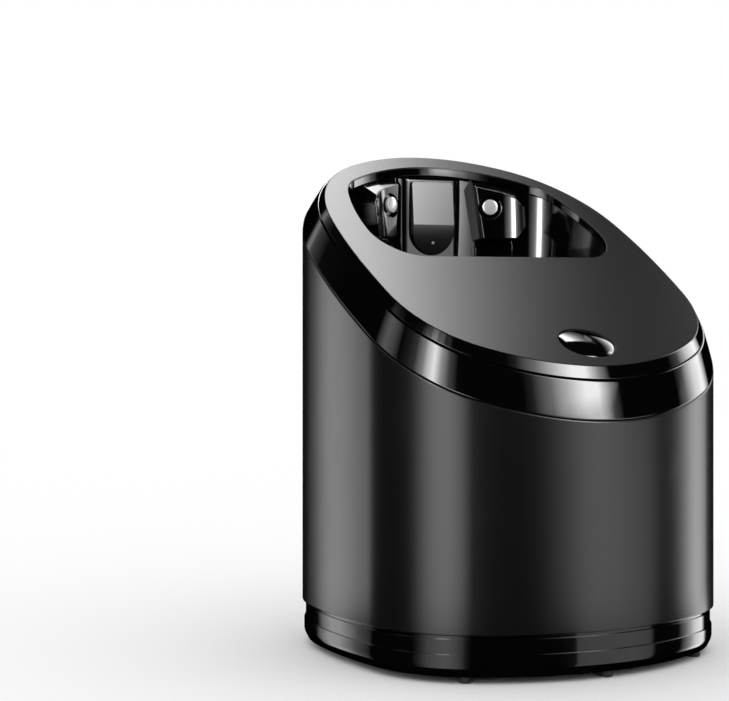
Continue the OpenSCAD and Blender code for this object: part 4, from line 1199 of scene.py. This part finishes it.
@dataclass
class Cradle:
    """The gloss liner of the opening with its two cheeks and the tower between them."""

    grow: float = 1.2 * MM
    draw: float = 3.0 * MM
    wall: float = 1.4 * MM
    pin_at: Triple = (19.8 * MM, 40.2 * MM, 145 * MM)
    turn: float = math.radians(23)
    recess_r: float = 4.0 * MM
    recess_d: float = 1.5 * MM
    shank_r: float = 1.25 * MM
    roof_gap: float = 0.05 * MM
    roof_end: float = 9.4
    inner: float = -4.4
    inner_lean: float = 0.14
    inner_round: float = 1.0 * MM
    lean: float = 0.05
    low: float = -11.0
    outer: float = 12.0
    outer_low: float = -6.9
    outer_high: float = 0.2
    round_from: float = 2.5
    round_r: float = 15.0
    depth: float = 17 * MM
    block: tuple[Pair, ...] = ((2.5, -48), (2.5, -14.3), (5.5, -11.4), (18, -11.4), (18, -48))
    block_reach: Pair = (-5.0, 8.6)
    steps: int = 14
    edge: float = 0.3 * MM
    tower_w: float = 27.6 * MM
    tower_front: float = 47.2 * MM
    tower_rear: float = 62 * MM
    tower_round: float = 5 * MM
    tower_edge: float = 1.3 * MM

    def loft(self, outward: float, steps: int = 8) -> list[list[Vector]]:
        """Rings from the level lower edge to the slanted upper edge, let out by outward."""
        low, high = self.draw - outward, -self.grow - outward
        start, end = Stop(low, STATION.cradle_bottom, slanted=False), Stop(high, STATION.cradle_top)
        pairs = [(start.place(a), end.place(b)) for a, b in zip(WELL.ring(low), WELL.ring(high))]
        return [[a.lerp(b, i / steps) for a, b in pairs] for i in range(steps + 1)]

    def liner(self) -> Mesh:
        """The wall of the opening below the collar."""
        return looped(self.loft(self.wall) + self.loft(0.0)[::-1])

    def to_cheek(self, side: int) -> Matrix:
        """Takes places on a cheek's face (along it, up, back into it) to the part's frame."""
        cos, sin = math.cos(self.turn), math.sin(self.turn)
        x, y, z = self.pin_at
        return Matrix(((side * cos, 0, side * sin, side * x), (-sin, 0, cos, y), (0, 1, 0, z), (0, 0, 0, 1)))

    def on_roof(self, place: Vector) -> Vector:
        """A point moved upright onto the slanted upper edge's plane."""
        return Vector((place.x, place.y, STATION.cradle_top + STATION.slope * place.y - self.roof_gap))

    def cheek(self, side: int) -> Mesh:
        """One cheek: a block whose face is flat beside the tower and curves forward round the shaver."""
        to_part, span = self.to_cheek(side), self.outer - self.round_from
        rings = []
        for i in range(-1, self.steps + 1):
            share = max(0, i) / self.steps
            along = self.round_from + span * share if i >= 0 else self.inner
            back = math.sqrt(self.round_r**2 - span**2 * share**2) - self.round_r
            cut = max(0.0, along - self.roof_end) / (self.outer - self.roof_end)
            bottom = (self.low + (self.outer_low - self.low) * cut) * MM
            lean, deep = self.low * self.lean, self.depth / MM
            ring = []
            for depth, high in ((back + lean, False), (deep, False), (deep, True), (back - lean, True)):
                point = to_part @ Vector((along * MM, 0 if high else bottom, depth * MM))
                if high:
                    point = self.on_roof(point)
                    point.z += (self.pin_at[2] + self.outer_high * MM - point.z) * cut
                if i < 0:
                    tilt = (point.z - self.pin_at[2]) * self.inner_lean
                    point += to_part.to_3x3() @ Vector((-tilt, 0, 0))
                ring.append(point)
            rings.append(ring)
        mesh = solid(rings)
        corner = [v for v in mesh.verts if min((v.co - rings[0][k]).length for k in (0, 3)) < WELD]
        bevelled(mesh, [e for e in mesh.edges if set(e.verts) == set(corner)], self.inner_round, steps=5)
        sharp = [e for e in mesh.edges if e.calc_face_angle(0.0) > CREASE]
        bevelled(mesh, sharp, self.edge)
        start, end, wide = -2 * MM, self.depth + MM, self.recess_r + 0.45 * MM
        recess = [(0, start), (wide, start), (wide, 0), (self.recess_r, 0.35 * MM),
                  (self.recess_r, self.recess_d), (self.shank_r, self.recess_d), (self.shank_r, end), (0, end)]
        return combined(mesh, turned(recess, to_part), Carve.CUT)

    def under_block(self, side: int) -> Mesh:
        """The block below a cheek, set back with a sloping top."""
        to_part = self.to_cheek(side)
        mesh = solid([[to_part @ Vector((s * MM, z * MM, back * MM)) for back, z in self.block]
                      for s in self.block_reach])
        bevelled(mesh, mesh.edges[:], 0.5 * MM)
        return mesh

    def tower(self) -> Mesh:
        """The tower that carries the plate, round at its upright edges and along its top."""
        def plan(inset: float) -> list[Vector]:
            half, radius = self.tower_w / 2 - inset, self.tower_round - inset
            middle = Vector((self.tower_w / 2 - self.tower_round, self.tower_front + self.tower_round))
            right = [middle + radius * Vector((sin, -cos)) for sin, cos in bow(10)]
            right.append(Vector((half, self.tower_rear)))
            return [Vector((-p.x, p.y)) for p in right[::-1]] + right
        rings = [[Vector((*p, STATION.cradle_bottom)) for p in plan(0)]]
        for sin, cos in bow(6):
            stop = Stop(0, STATION.cradle_top - self.tower_edge * (1 - sin) - self.roof_gap)
            rings.append([stop.place(p) for p in plan(self.tower_edge * (1 - cos))])
        return solid(rings)

    def build(self) -> None:
        """Makes the liner, the cheeks and the tower as one moulding."""
        parts = [self.tower()] + [make(side) for side in (-1, 1) for make in (self.cheek, self.under_block)]
        held = [combined(part, solid(self.loft(self.wall / 2)), Carve.KEEP) for part in parts]
        finished("cradle_liner", added(self.liner(), *held), WELL_BLACK, Body.HOUSING, "cradle")


@dataclass
class TowerPlate:
    """The grey plate on the tower: upright below its crease, leaning back above it."""

    width: float = 16.6 * MM
    bottom: float = 128 * MM
    crease: float = 138.6 * MM
    top: float = 153.8 * MM
    corner: float = 1.2 * MM
    back: float = 47.1 * MM
    front: float = 45.1 * MM
    lean: float = 1.2 * MM
    lean_under: float = 1.45 * MM
    crease_w: float = 0.12 * MM
    dot_z: float = 132.4 * MM
    dot_r: float = 0.7 * MM

    def outline(self, inset: float) -> list[Vector]:
        """The plate seen from the front, from the top middle clockwise."""
        half, radius = self.width / 2, self.corner
        corner, middle = Vector((half - radius, self.top - radius)), Vector((0, self.bottom + half))
        right = [corner + (radius - inset) * Vector(turn) for turn in bow(5)]
        right += [Vector((half - inset, self.crease + self.crease_w)), Vector((half - inset, self.crease))]
        right += [middle + (half - inset) * Vector((cos, -sin)) for sin, cos in bow(16)]
        return right + [Vector((-p.x, p.y)) for p in right[-2::-1]]

    def face_y(self, z: float) -> float:
        """Where the front face stands at a height."""
        if z > self.crease:
            return self.front + self.lean * (z - self.crease) / (self.top - self.crease)
        return self.front + self.lean_under * (self.crease - z) / (self.crease - self.bottom)

    def plate(self) -> Mesh:
        """The plate, with a soft front edge and one narrow strip along the crease."""
        rings = [[Vector((p.x, self.back, p.y)) for p in self.outline(0)]]
        for inset, behind in ((0.0, 0.25), (0.07, 0.07), (0.25, 0.0)):
            rings.append([Vector((p.x, self.face_y(p.y) + behind * MM, p.y)) for p in self.outline(inset * MM)])
        shell = Shell(rings[0]).cap().grow_all(rings[1:])
        verts, mesh = shell.verts, shell.mesh
        last = len(verts) - 1
        for a, b in ((6, last - 6), (7, last - 7)):
            bmesh.ops.contextual_create(mesh, geom=[verts[a], verts[b]])
        for loop in (verts[:7] + verts[last - 6:], [verts[6], verts[7], verts[last - 7], verts[last - 6]],
                     verts[7:last - 6]):
            bmesh.ops.contextual_create(mesh, geom=loop)
        return mesh

    def dot(self) -> Mesh:
        """The sensor's small domed lens."""
        length, r = self.back - self.face_y(self.dot_z) + 0.1 * MM, self.dot_r
        profile = [(0, 0), (r, 0), (r, length - 0.25 * MM), (0.8 * r, length - 0.08 * MM), (0.45 * r, length),
                   (0, length)]
        to_part = shifted(0, self.back, self.dot_z) @ Matrix.Rotation(QUARTER, 4, "X")
        return turned(profile, to_part, POST_STEPS)

    def build(self) -> None:
        """Makes the plate and the lens."""
        finished("plate", self.plate(), PLATE_GREY, Body.HOUSING, "tower_plate")
        finished("lens", self.dot(), SENSOR, Body.HOUSING, "sensor_dot")


@dataclass
class ContactPins:
    """The two sprung contacts in the cheeks."""

    cradle: Cradle
    head_r: float = 2.7 * MM
    proud: float = 0.8 * MM
    head_h: float = 1.2 * MM
    shank_r: float = 1.2 * MM
    shank_l: float = 11 * MM
    edge: float = 0.35 * MM

    def build(self) -> None:
        """Turns both pins."""
        r, low = self.head_r, -self.proud
        profile = [(0, low), (0.6 * r, low + 0.04 * MM), (r - self.edge, low + 0.12 * MM),
                   (r - 0.1 * MM, low + 0.22 * MM), (r, low + 0.12 * MM + self.edge), (r, low + self.head_h),
                   (self.shank_r, low + self.head_h), (self.shank_r, self.shank_l - 0.3 * MM),
                   (self.shank_r - 0.3 * MM, self.shank_l), (0, self.shank_l)]
        for side, body in ((-1, Body.PIN_LEFT), (1, Body.PIN_RIGHT)):
            mesh = turned(profile, self.cradle.to_cheek(side))
            finished(f"{body.value}_head", mesh, CHROME, body, body.value)


@dataclass
class WashDish:
    """The dish under the cradle, with its drain and the mouths of the tube and the duct."""

    floor: float = 70 * MM
    wall: float = 1.4 * MM
    draw: float = 3 * MM
    drain_r: float = 4 * MM
    spout_r: float = 5.4 * MM
    spout_end: float = 44.3 * MM
    tube_r: float = 2.5 * MM
    mouth_gap: float = 0.05 * MM
    mouth_reach: float = 9 * MM
    curve: tuple[Pair, ...] = ((0.66, 0.0), (0.735, 0.8), (0.8, 2.5), (0.865, 4.8), (0.91, 7.5),
                                              (0.945, 11.0), (0.97, 15.0), (0.99, 20.0), (1.0, 25.95))

    def rings(self, outward: float) -> list[list[Vector]]:
        """Rings of the bowl from its floor to its rim, let out by outward."""
        outline = WELL.ring(self.draw - outward)
        made = []
        for share, height in self.curve:
            z = self.floor + height * MM - (outward if share < 1 else 0.0)
            made.append([Vector((*(DRAIN + share * (p - DRAIN)), z)) for p in outline])
        return made

    def drain_ring(self, radius: float, height: float) -> list[Vector]:
        """A circle about the drain."""
        return [Vector((*(DRAIN + p), height)) for p in ellipse(2 * radius, 2 * radius)]

    def bowl(self) -> Mesh:
        """The bowl and its spout as one closed shell."""
        mesh = bmesh.new()
        inside, outside = self.rings(0.0), self.rings(self.wall)
        rim = Shell(inside[0], mesh)
        floor_edges = list(rim.edges)
        rim.grow_all(inside[1:] + outside[::-1])
        under = self.floor - self.wall
        spout = Shell(self.drain_ring(self.spout_r, under), mesh)
        under_edges = list(spout.edges)
        fill(mesh, rim.edges + under_edges)
        edge = 0.4 * MM
        spout.grow_all([
            self.drain_ring(self.spout_r, self.spout_end + edge),
            self.drain_ring(self.spout_r - edge, self.spout_end),
            self.drain_ring(self.drain_r, self.spout_end),
            self.drain_ring(self.drain_r, self.floor - 1.2 * MM),
            self.drain_ring(self.drain_r + 1.0 * MM, self.floor),
        ])
        fill(mesh, floor_edges + spout.edges)
        return mesh

    def build(self) -> None:
        """Makes the bowl and cuts the two mouths through its front."""
        bowl = self.bowl()
        for node, is_round in (("delivery_tube", True), ("air_duct", False)):
            low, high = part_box(node)
            at = (low + high) / 2
            if is_round:
                at.z = high.z - self.tube_r
                width = 2 * (self.tube_r + self.mouth_gap)
                points = ellipse(width, width)
            else:
                w, h = at.x - low.x + self.mouth_gap, at.z - low.z + self.mouth_gap
                points = [Vector(p) for p in ((-w, -h), (w, -h), (w, h), (-w, h))]
            ends = (high.y - self.mouth_reach, high.y + self.mouth_reach)
            tool = solid([[Vector((at.x + p.x, y, at.z + p.y)) for p in points] for y in ends])
            bowl = combined(bowl, tool, Carve.CUT)
        finished("dish", bowl, DISH_BLACK, Body.HOUSING, "wash_dish")


# ---------- lift and power ----------


@dataclass
class LiftButton:
    """The cap in the rear wall, dished for a finger, whose face follows the wall."""

    width: float = 18 * MM
    height: float = 9 * MM
    middle_z: float = 63.4 * MM
    back: float = 58.1 * MM
    gap: float = 0.3 * MM
    edge: float = 0.5 * MM
    rim_w: float = 0.5 * MM
    dish: float = 0.7 * MM
    dish_reach: float = 0.97
    steps: int = 8

    def ring(self, inset: float, sunk: float) -> list[Vector]:
        """The cap's outline, drawn in, lying on the wall's curve and sunk into it."""
        arc = BODY.rear.arcs[0]
        points = []
        for p in slot_shape(self.width - 2 * inset, self.height - 2 * inset):
            y = arc.centre.y - BODY.wide + math.sqrt((arc.radius - self.gap) ** 2 - p.x**2)
            points.append(Vector((p.x, y - sunk, self.middle_z + p.y)))
        return points

    def build(self) -> None:
        """Makes the cap."""
        rings = [[Vector((p.x, self.back, p.z)) for p in self.ring(0, 0)], self.ring(0, self.edge)]
        rings += [self.ring(self.edge * (1 - cos), self.edge * (1 - sin)) for sin, cos in bow(4)[1:]]
        start = self.edge + self.rim_w
        rings.append(self.ring(start, 0.0))
        reach = (self.height / 2 - start - 0.1 * MM) * self.dish_reach
        for i in range(1, self.steps + 1):
            share = i / self.steps
            rings.append(self.ring(start + reach * share, self.dish * (1 - (1 - share) ** 2)))
        finished("lift_cap", solid(rings), SATIN_DARK, Body.LIFT_BUTTON, "lift_button")


@dataclass
class Lift:
    """The guide rods and the springs round them, and the latch's spring."""

    rod_r: float = 2.5 * MM
    rod_low: float = 5 * MM
    rod_top: float = 112 * MM
    rod_edge: float = 0.6 * MM
    rod_at: Pair = (45.4 * MM, 35.6 * MM)
    spring_r: float = 3.35 * MM
    wire: float = 0.9 * MM
    turns: int = 9
    closed_turns: float = 0.9
    spring_low: float = 18.8 * MM
    spring_high: float = 53.7 * MM
    latch_r: float = 1.8 * MM
    latch_wire: float = 0.7 * MM
    latch_turns: int = 5
    latch_low: float = 42.9 * MM
    latch_high: float = 48.4 * MM
    latch_z: float = 63.4 * MM

    def coil(self, radius: float, wire: float, turns: int, length: float) -> Mesh:
        """A coil of round wire along +Z from 0, whose end turns lie closed and flat.

        Args:
            radius: Radius of the wire's middle.
            wire: The wire's diameter.
            turns: Number of turns, ends included.
            length: Length over the wire.

        Returns:
            The coil's mesh.
        """
        per_turn, sides, flat = 28, 10, 0.25
        count = turns * per_turn
        rise = []
        for i in range(count + 1):
            from_end = min(i, count - i) / per_turn
            rise.append(flat + (1 - flat) * min(1.0, from_end / self.closed_turns))
        total, run, rings = sum(rise[:-1]), 0.0, []
        for i in range(count + 1):
            turn = math.tau * i / per_turn
            out = Vector((math.cos(turn), math.sin(turn), 0.0))
            middle = out * radius + Vector((0, 0, wire / 2 + (length - wire) * run / total))
            ring = []
            for k in range(sides):
                a = math.tau * k / sides
                ring.append(middle + wire / 2 * (math.cos(a) * out + math.sin(a) * Vector((0, 0, 1))))
            rings.append(ring)
            run += rise[i]
        return solid(rings)

    def build(self) -> None:
        """Turns the rods and winds the three springs."""
        r, edge = self.rod_r, self.rod_edge
        profile = [(0, self.rod_low), (r, self.rod_low), (r, self.rod_top - edge), (r - edge, self.rod_top),
                   (0, self.rod_top)]
        x, y = self.rod_at
        rods = added(*(turned(profile, shifted(side * x, y)) for side in (-1, 1)))
        finished("rods", rods, STEEL, Body.BASE, "guide_rods")
        springs = []
        for side in (-1, 1):
            spring = self.coil(self.spring_r, self.wire, self.turns, self.spring_high - self.spring_low)
            bmesh.ops.transform(spring, matrix=shifted(side * x, y, self.spring_low), verts=spring.verts)
            springs.append(spring)
        coils = finished("lift_coils", added(*springs), STEEL, None, "lift_springs")
        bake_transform(coils)
        latch = self.coil(self.latch_r, self.latch_wire, self.latch_turns, self.latch_high - self.latch_low)
        to_part = shifted(0, self.latch_high, self.latch_z) @ Matrix.Rotation(QUARTER, 4, "X")
        bmesh.ops.transform(latch, matrix=to_part, verts=latch.verts)
        coil = finished("latch_coil", latch, STEEL, None, "latch_spring")
        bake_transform(coil)


@dataclass
class Cartridge:
    """The fluid cartridge: a round tub with a lid."""

    radius: float = 50 * MM
    low: float = 5.3 * MM
    high: float = 50.3 * MM
    wall: float = 1.4 * MM
    lid_t: float = 1.6 * MM
    at_y: float = -6.4 * MM
    edge: float = 1.2 * MM
    drain_r: float = 6.0 * MM
    tube: Pair = (-26.006 * MM, -27.99 * MM)
    tube_r: float = 3.1 * MM

    def build(self) -> None:
        """Turns the tub and the lid, and bores the lid."""
        r, edge, soft, under = self.radius, self.edge, 0.3 * MM, self.high - self.lid_t
        inner, floor, top = r - self.wall, self.low + self.wall, under - STATION.free_gap
        tub = [(0, self.low)]
        tub += [(r - edge + edge * sin, self.low + edge * (1 - cos)) for sin, cos in bow(4)]
        tub += [(r, top - soft), (r - soft, top), (inner, top), (inner, floor), (0, floor)]
        to_part = shifted(0, self.at_y)
        finished("tub", turned(tub, to_part, CARTRIDGE_STEPS), CARTRIDGE, Body.BASE, "cartridge_tub")
        wide, narrow = 0.5 * MM, 0.15 * MM
        lid = [(0, under), (r, under), (r, self.high - wide), (r - narrow, self.high - narrow),
               (r - wide, self.high), (0, self.high)]
        mesh = turned(lid, to_part, CARTRIDGE_STEPS)
        for (x, y), radius in ((DRAIN, self.drain_r), (self.tube, self.tube_r)):
            tool = turned(bar(radius, under - MM, self.high + MM), shifted(x, y))
            mesh = combined(mesh, tool, Carve.CUT)
        finished("lid", mesh, LID_BLUE, Body.BASE, "cartridge_lid")


class Insides:
    """The CAD nodes that are shown as they are."""

    def build(self) -> None:
        """Gives each carried-over node its finish."""
        groups = {
            STEEL: ("base_screws", "chassis_screws", "board_screws", "pump_motor", "suction_tube",
                    "fan_motor", "inlet_pins"),
            WHITE_PLASTIC: ("cartridge_filter", "pump_rotor", "fan_rotor", "delivery_tube"),
            INNER_GREY: ("chassis", "pump_body", "pump_cover", "fan_scroll", "air_duct", "latch_bar",
                         "start_switch", "board_parts"),
            BASE_BLACK: ("catch_posts", "rear_bracket", "power_inlet"),
            CIRCUIT: ("main_board", "contact_board"),
        }
        for finish, names in groups.items():
            for name in names:
                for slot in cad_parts[name].material_slots:
                    slot.material = finish.material
            LOG.info("%s: %s", finish.name, ", ".join(names))


# ---------- studio ----------


@dataclass(frozen=True)
class Column:
    """One line of a light panel: its bearing in degrees from the front, and its levels.

    They are the levels near the station, further out and high up, and the spot is the one
    just above the station's top, where that isn't the middle of low and high.
    """

    bearing: float
    near: float
    low: float
    high: float
    spot: float = 0.0


@dataclass
class Studio:
    """The camera, the white room and the dark tent with its light panels round the station."""

    bearing: float = math.radians(-27.86)
    away: float = 604.1 * MM
    aside: float = -45.64 * MM
    height: float = 115.9 * MM
    lens: float = 91.08
    sensor: float = 36.0
    clip: Pair = (0.01, 50.0)
    centre_y: float = -0.41 * MM
    shift_y: float = -0.0831
    floor_reach: float = 12.0
    tent_r: float = 2.4
    tent_floor: float = 0.3 * MM
    panel_glow: float = 10.0
    panels: tuple[tuple[tuple[float, ...], ...], ...] = (
        ((-166, 0, 0, 0), (-163, 0.5, 0.7, 0.01), (-157, 1.5, 1.8, 0.8), (-152, 1.7, 2.4, 0.3),
         (-145, 0.5, 1.9, 0.01), (-139, 0, 1.0, 0.01), (-132, 0, 0, 0)),
        ((-113, 0, 0, 0), (-103, 0, 0, 1.0), (-95, 0, 0, 0.6), (-88, 0, 0, 0)),
        ((-88, 0, 0, 0), (-80, 0.25, 0.7, 0.1), (-73, 0.75, 1.8, 0.35), (-65.5, 1.0, 2.6, 2.4, 3),
         (-63, 1.05, 2.7, 4.7, 24), (-56, 1.2, 3.0, 9.5, 24), (-50, 1.05, 2.85, 3.3, 3.2), (-43, 0.7, 2.3, 0.6),
         (-36, 0.1, 1.2, 0.01), (-31, 0, 0, 0)),
        ((-2, 0, 0, 0), (2, 0, 0.1, 0.15), (10, 0, 0.6, 1.7), (17, 0.05, 1.2, 5.2), (18.5, 0.68, 1.4, 6.2),
         (25, 0.75, 1.7, 10.3), (30.5, 0.75, 1.6, 10.3), (33, 0.75, 1.55, 6.5), (36.5, 0.75, 1.5, 2.6, 0.6),
         (41, 0.75, 1.3, 0), (45, 0.75, 1.15, 0), (57, 0.5, 0.7, 0), (60, 0, 0, 0)),
        ((72, 0, 0, 0), (77.5, 0, 1.2, 0.35), (84.7, 1.3, 3.4, 3.5), (91, 3.3, 3.6, 4.9), (98, 3.6, 0.9, 2.1),
         (103, 1.0, 0, 0), (106, 0, 0, 0)),
    )
    panel_runs: tuple[Pair, ...] = (
        (0.004, 0), (0.03, 0), (0.07, 0), (0.13, 1), (0.3, 1), (0.6, 1), (0.9, 1))
    panel_foot: float = 0.6 * MM
    panel_low: Pair = (0.06, 0.1)
    panel_high: float = 0.8
    panel_lifts: tuple[float, ...] = (0.14, 0.14, 0.24, 0.2, 0.14)
    panel_ramp: float = 0.14
    panel_top: float = 0.95
    lid_z: float = 0.5
    lid_x: Triple = (0.11, 0.167, 0.34)
    lid_y: Pair = (0.06, 0.42)
    lid_level: float = 6.9
    lid_fall: float = 0.04
    lid_steps: int = 16
    strip: tuple[Pair, ...] = ((17, 0), (24, 2.2), (31, 3.4), (37, 2.2), (43, 0.6), (47, 0))
    strip_y: Pair = (-0.02, 0.42)
    strip_r: float = 0.8
    strip_z: float = 0.08

    def camera_foot(self) -> Vector:
        """Where the camera stands, seen from above."""
        back = Vector((math.sin(self.bearing), -math.cos(self.bearing)))
        right = Vector((math.cos(self.bearing), math.sin(self.bearing)))
        return back * self.away + right * self.aside + Vector((0, self.centre_y))

    def camera(self) -> None:
        """Sets the camera where the photograph was taken from."""
        data = bpy.data.cameras.new("camera")
        data.lens, data.sensor_width, data.shift_y = self.lens, self.sensor, self.shift_y
        data.clip_start, data.clip_end = self.clip
        camera = bpy.data.objects.new("camera", data)
        camera.location = (*self.camera_foot(), self.height)
        camera.rotation_euler = (QUARTER, 0, self.bearing)
        bpy.context.scene.collection.objects.link(camera)
        bpy.context.scene.camera = camera

    def world(self) -> None:
        """A white room that gives a plain level of light."""
        world = bpy.data.worlds.new("room")
        world.use_nodes = True
        background = world.node_tree.nodes["Background"]
        background.inputs["Color"].default_value = (1, 1, 1, 1)
        background.inputs["Strength"].default_value = 1.0
        bpy.context.scene.world = world

    def staged(self, name: str, mesh: Mesh, material: Material,
               mirrored_only: bool) -> bpy.types.Object:
        """Sets up a thing of the studio.

        Args:
            name: Its name.
            mesh: Its mesh; it is freed.
            material: Its material.
            mirrored_only: Whether it shows in reflections only.

        Returns:
            Its object.
        """
        thing = shown(name, mesh)
        thing.data.materials.append(material)
        if mirrored_only:
            thing.visible_camera = thing.visible_diffuse = thing.visible_transmission = False
            thing.visible_shadow = thing.visible_volume_scatter = False
        return thing

    def floor(self) -> None:
        """A plain white floor."""
        mesh = bmesh.new()
        bmesh.ops.create_grid(mesh, x_segments=1, y_segments=1, size=self.floor_reach)
        self.staged("floor", mesh, self.matt(Recipe("floor"), 1.0), False)

    def tent(self) -> None:
        """The dark tent: a dome and a dark floor that only reflections see."""
        mesh = bmesh.new()
        bmesh.ops.create_uvsphere(mesh, u_segments=48, v_segments=24, radius=self.tent_r)
        bmesh.ops.create_circle(mesh, cap_ends=True, segments=64, radius=self.tent_r,
                                matrix=shifted(0, 0, self.tent_floor))
        self.staged("tent", mesh, self.matt(Recipe("tent"), 0.0), True)

    def glow(self) -> Material:
        """Light whose level is painted on a panel."""
        recipe = Recipe("glow")
        level = recipe.node("ShaderNodeAttribute", {"attribute_name": "level"}).outputs["Fac"]
        return self.matt(recipe, 0.0, {"Emission Color": level, "Emission Strength": self.panel_glow})

    def matt(self, recipe: Recipe, grey: float, more: dict[str, object] | None = None) -> Material:
        """A plain grey surface that mirrors nothing, with more inputs if given."""
        inputs = {"Base Color": (grey, grey, grey, 1), "Roughness": 1.0, "Specular IOR Level": 0.0}
        return recipe.surface({**inputs, **(more or {})})

    def sheet(self, name: str, columns: Sequence[Sequence[tuple[Vector, float]]]) -> None:
        """Hangs a light panel.

        Args:
            name: Its name.
            columns: Equally many points in each column, each with its level.
        """
        mesh = bmesh.new()
        level = mesh.verts.layers.float.new("level")
        high = len(columns[0])
        bmesh.ops.create_grid(mesh, x_segments=len(columns) - 1, y_segments=high - 1, size=1)
        mesh.verts.ensure_lookup_table()
        points = sorted(mesh.verts, key=lambda v: (round(v.co.x, 5), v.co.y))
        for vert, (place, value) in zip(points, (pair for column in columns for pair in column)):
            vert.co, vert[level] = place, value / self.panel_glow
        self.staged(name, mesh, self.glow(), True)

    def mirror_turn(self, bearing: float) -> float:
        """The turn of the wall's normal at which the camera sees a bearing mirrored."""
        turn = (bearing + self.bearing) / 2
        for _ in range(4):
            to_camera = self.camera_foot() - BODY.point(turn, 0)
            turn = (bearing + math.atan2(to_camera.x, -to_camera.y)) / 2
        return turn

    def panel(self, name: str, rows: Sequence[Sequence[float]], lift: float) -> None:
        """A panel that runs out over the floor and up, so that the wall mirrors it as one upright band.

        Args:
            name: Its name.
            rows: The fields of its columns, from left to right.
            lift: The height above which it takes the columns' high levels.
        """
        made = []
        for row in rows:
            column = Column(*row)
            bearing = math.radians(column.bearing)
            foot = BODY.point(self.mirror_turn(bearing), 0)
            out = Vector((math.sin(bearing), -math.cos(bearing)))
            line = []
            for run, share in self.panel_runs:
                level = column.near + (column.low - column.near) * share
                line.append((Vector((*(foot + out * run), self.panel_foot)), level))
            far = foot + out * self.panel_runs[-1][0]
            middle = column.spot or (column.low + column.high) / 2 if column.high else 0.0
            over = column.low if column.high else 0.0
            ramp, (first, second) = self.panel_ramp, self.panel_low
            levels = ((first, column.low), (second, over), (lift, over), (lift + 0.2 * ramp, middle),
                      (lift + 0.6 * ramp, middle), (lift + ramp, column.high), (self.panel_high, column.high),
                      (self.panel_top, 0.0))
            line += [(Vector((*far, height)), level) for height, level in levels]
            made.append(line)
        self.sheet(name, made)

    def lid(self) -> None:
        """The panel over the top face, whose light falls off to the right."""
        left, edge, right = self.lid_x
        steps = self.lid_steps
        places = [left] + [edge + (right - edge) * (i / steps) for i in range(steps + 1)]
        columns = []
        for x in places:
            level = self.lid_level * math.exp(-max(0.0, x - edge) / self.lid_fall)
            columns.append([(Vector((x, y, self.lid_z)), level) for y in self.lid_y])
        self.sheet("lid_panel", columns)

    def strip_light(self) -> None:
        """A narrow panel high up on the right, which the start button mirrors."""
        columns = []
        for rise, level in self.strip:
            up = math.radians(rise)
            x, z = self.strip_r * math.cos(up), self.strip_z + self.strip_r * math.sin(up)
            columns.append([(Vector((x, y, z)), level) for y in self.strip_y])
        self.sheet("strip_panel", columns)

    def build(self) -> None:
        """Sets up everything round the station."""
        self.camera()
        self.world()
        self.floor()
        self.tent()
        for i, (rows, lift) in enumerate(zip(self.panels, self.panel_lifts)):
            self.panel(f"panel_{i}", rows, lift)
        self.lid()
        self.strip_light()
        bpy.context.scene.view_settings.view_transform = "Standard"


def main() -> None:
    """Builds the station and its studio."""
    logging.basicConfig(level=logging.INFO, format="%(name)s: %(message)s")
    top, cradle = Top(), Cradle()
    for part in (Base(), Housing(), top, StartButton(top), cradle, TowerPlate(), ContactPins(cradle),
                 WashDish(), LiftButton(), Lift(), Cartridge(), Insides()):
        part.build()
    Studio().build()


if __name__ == "__main__":
    main()
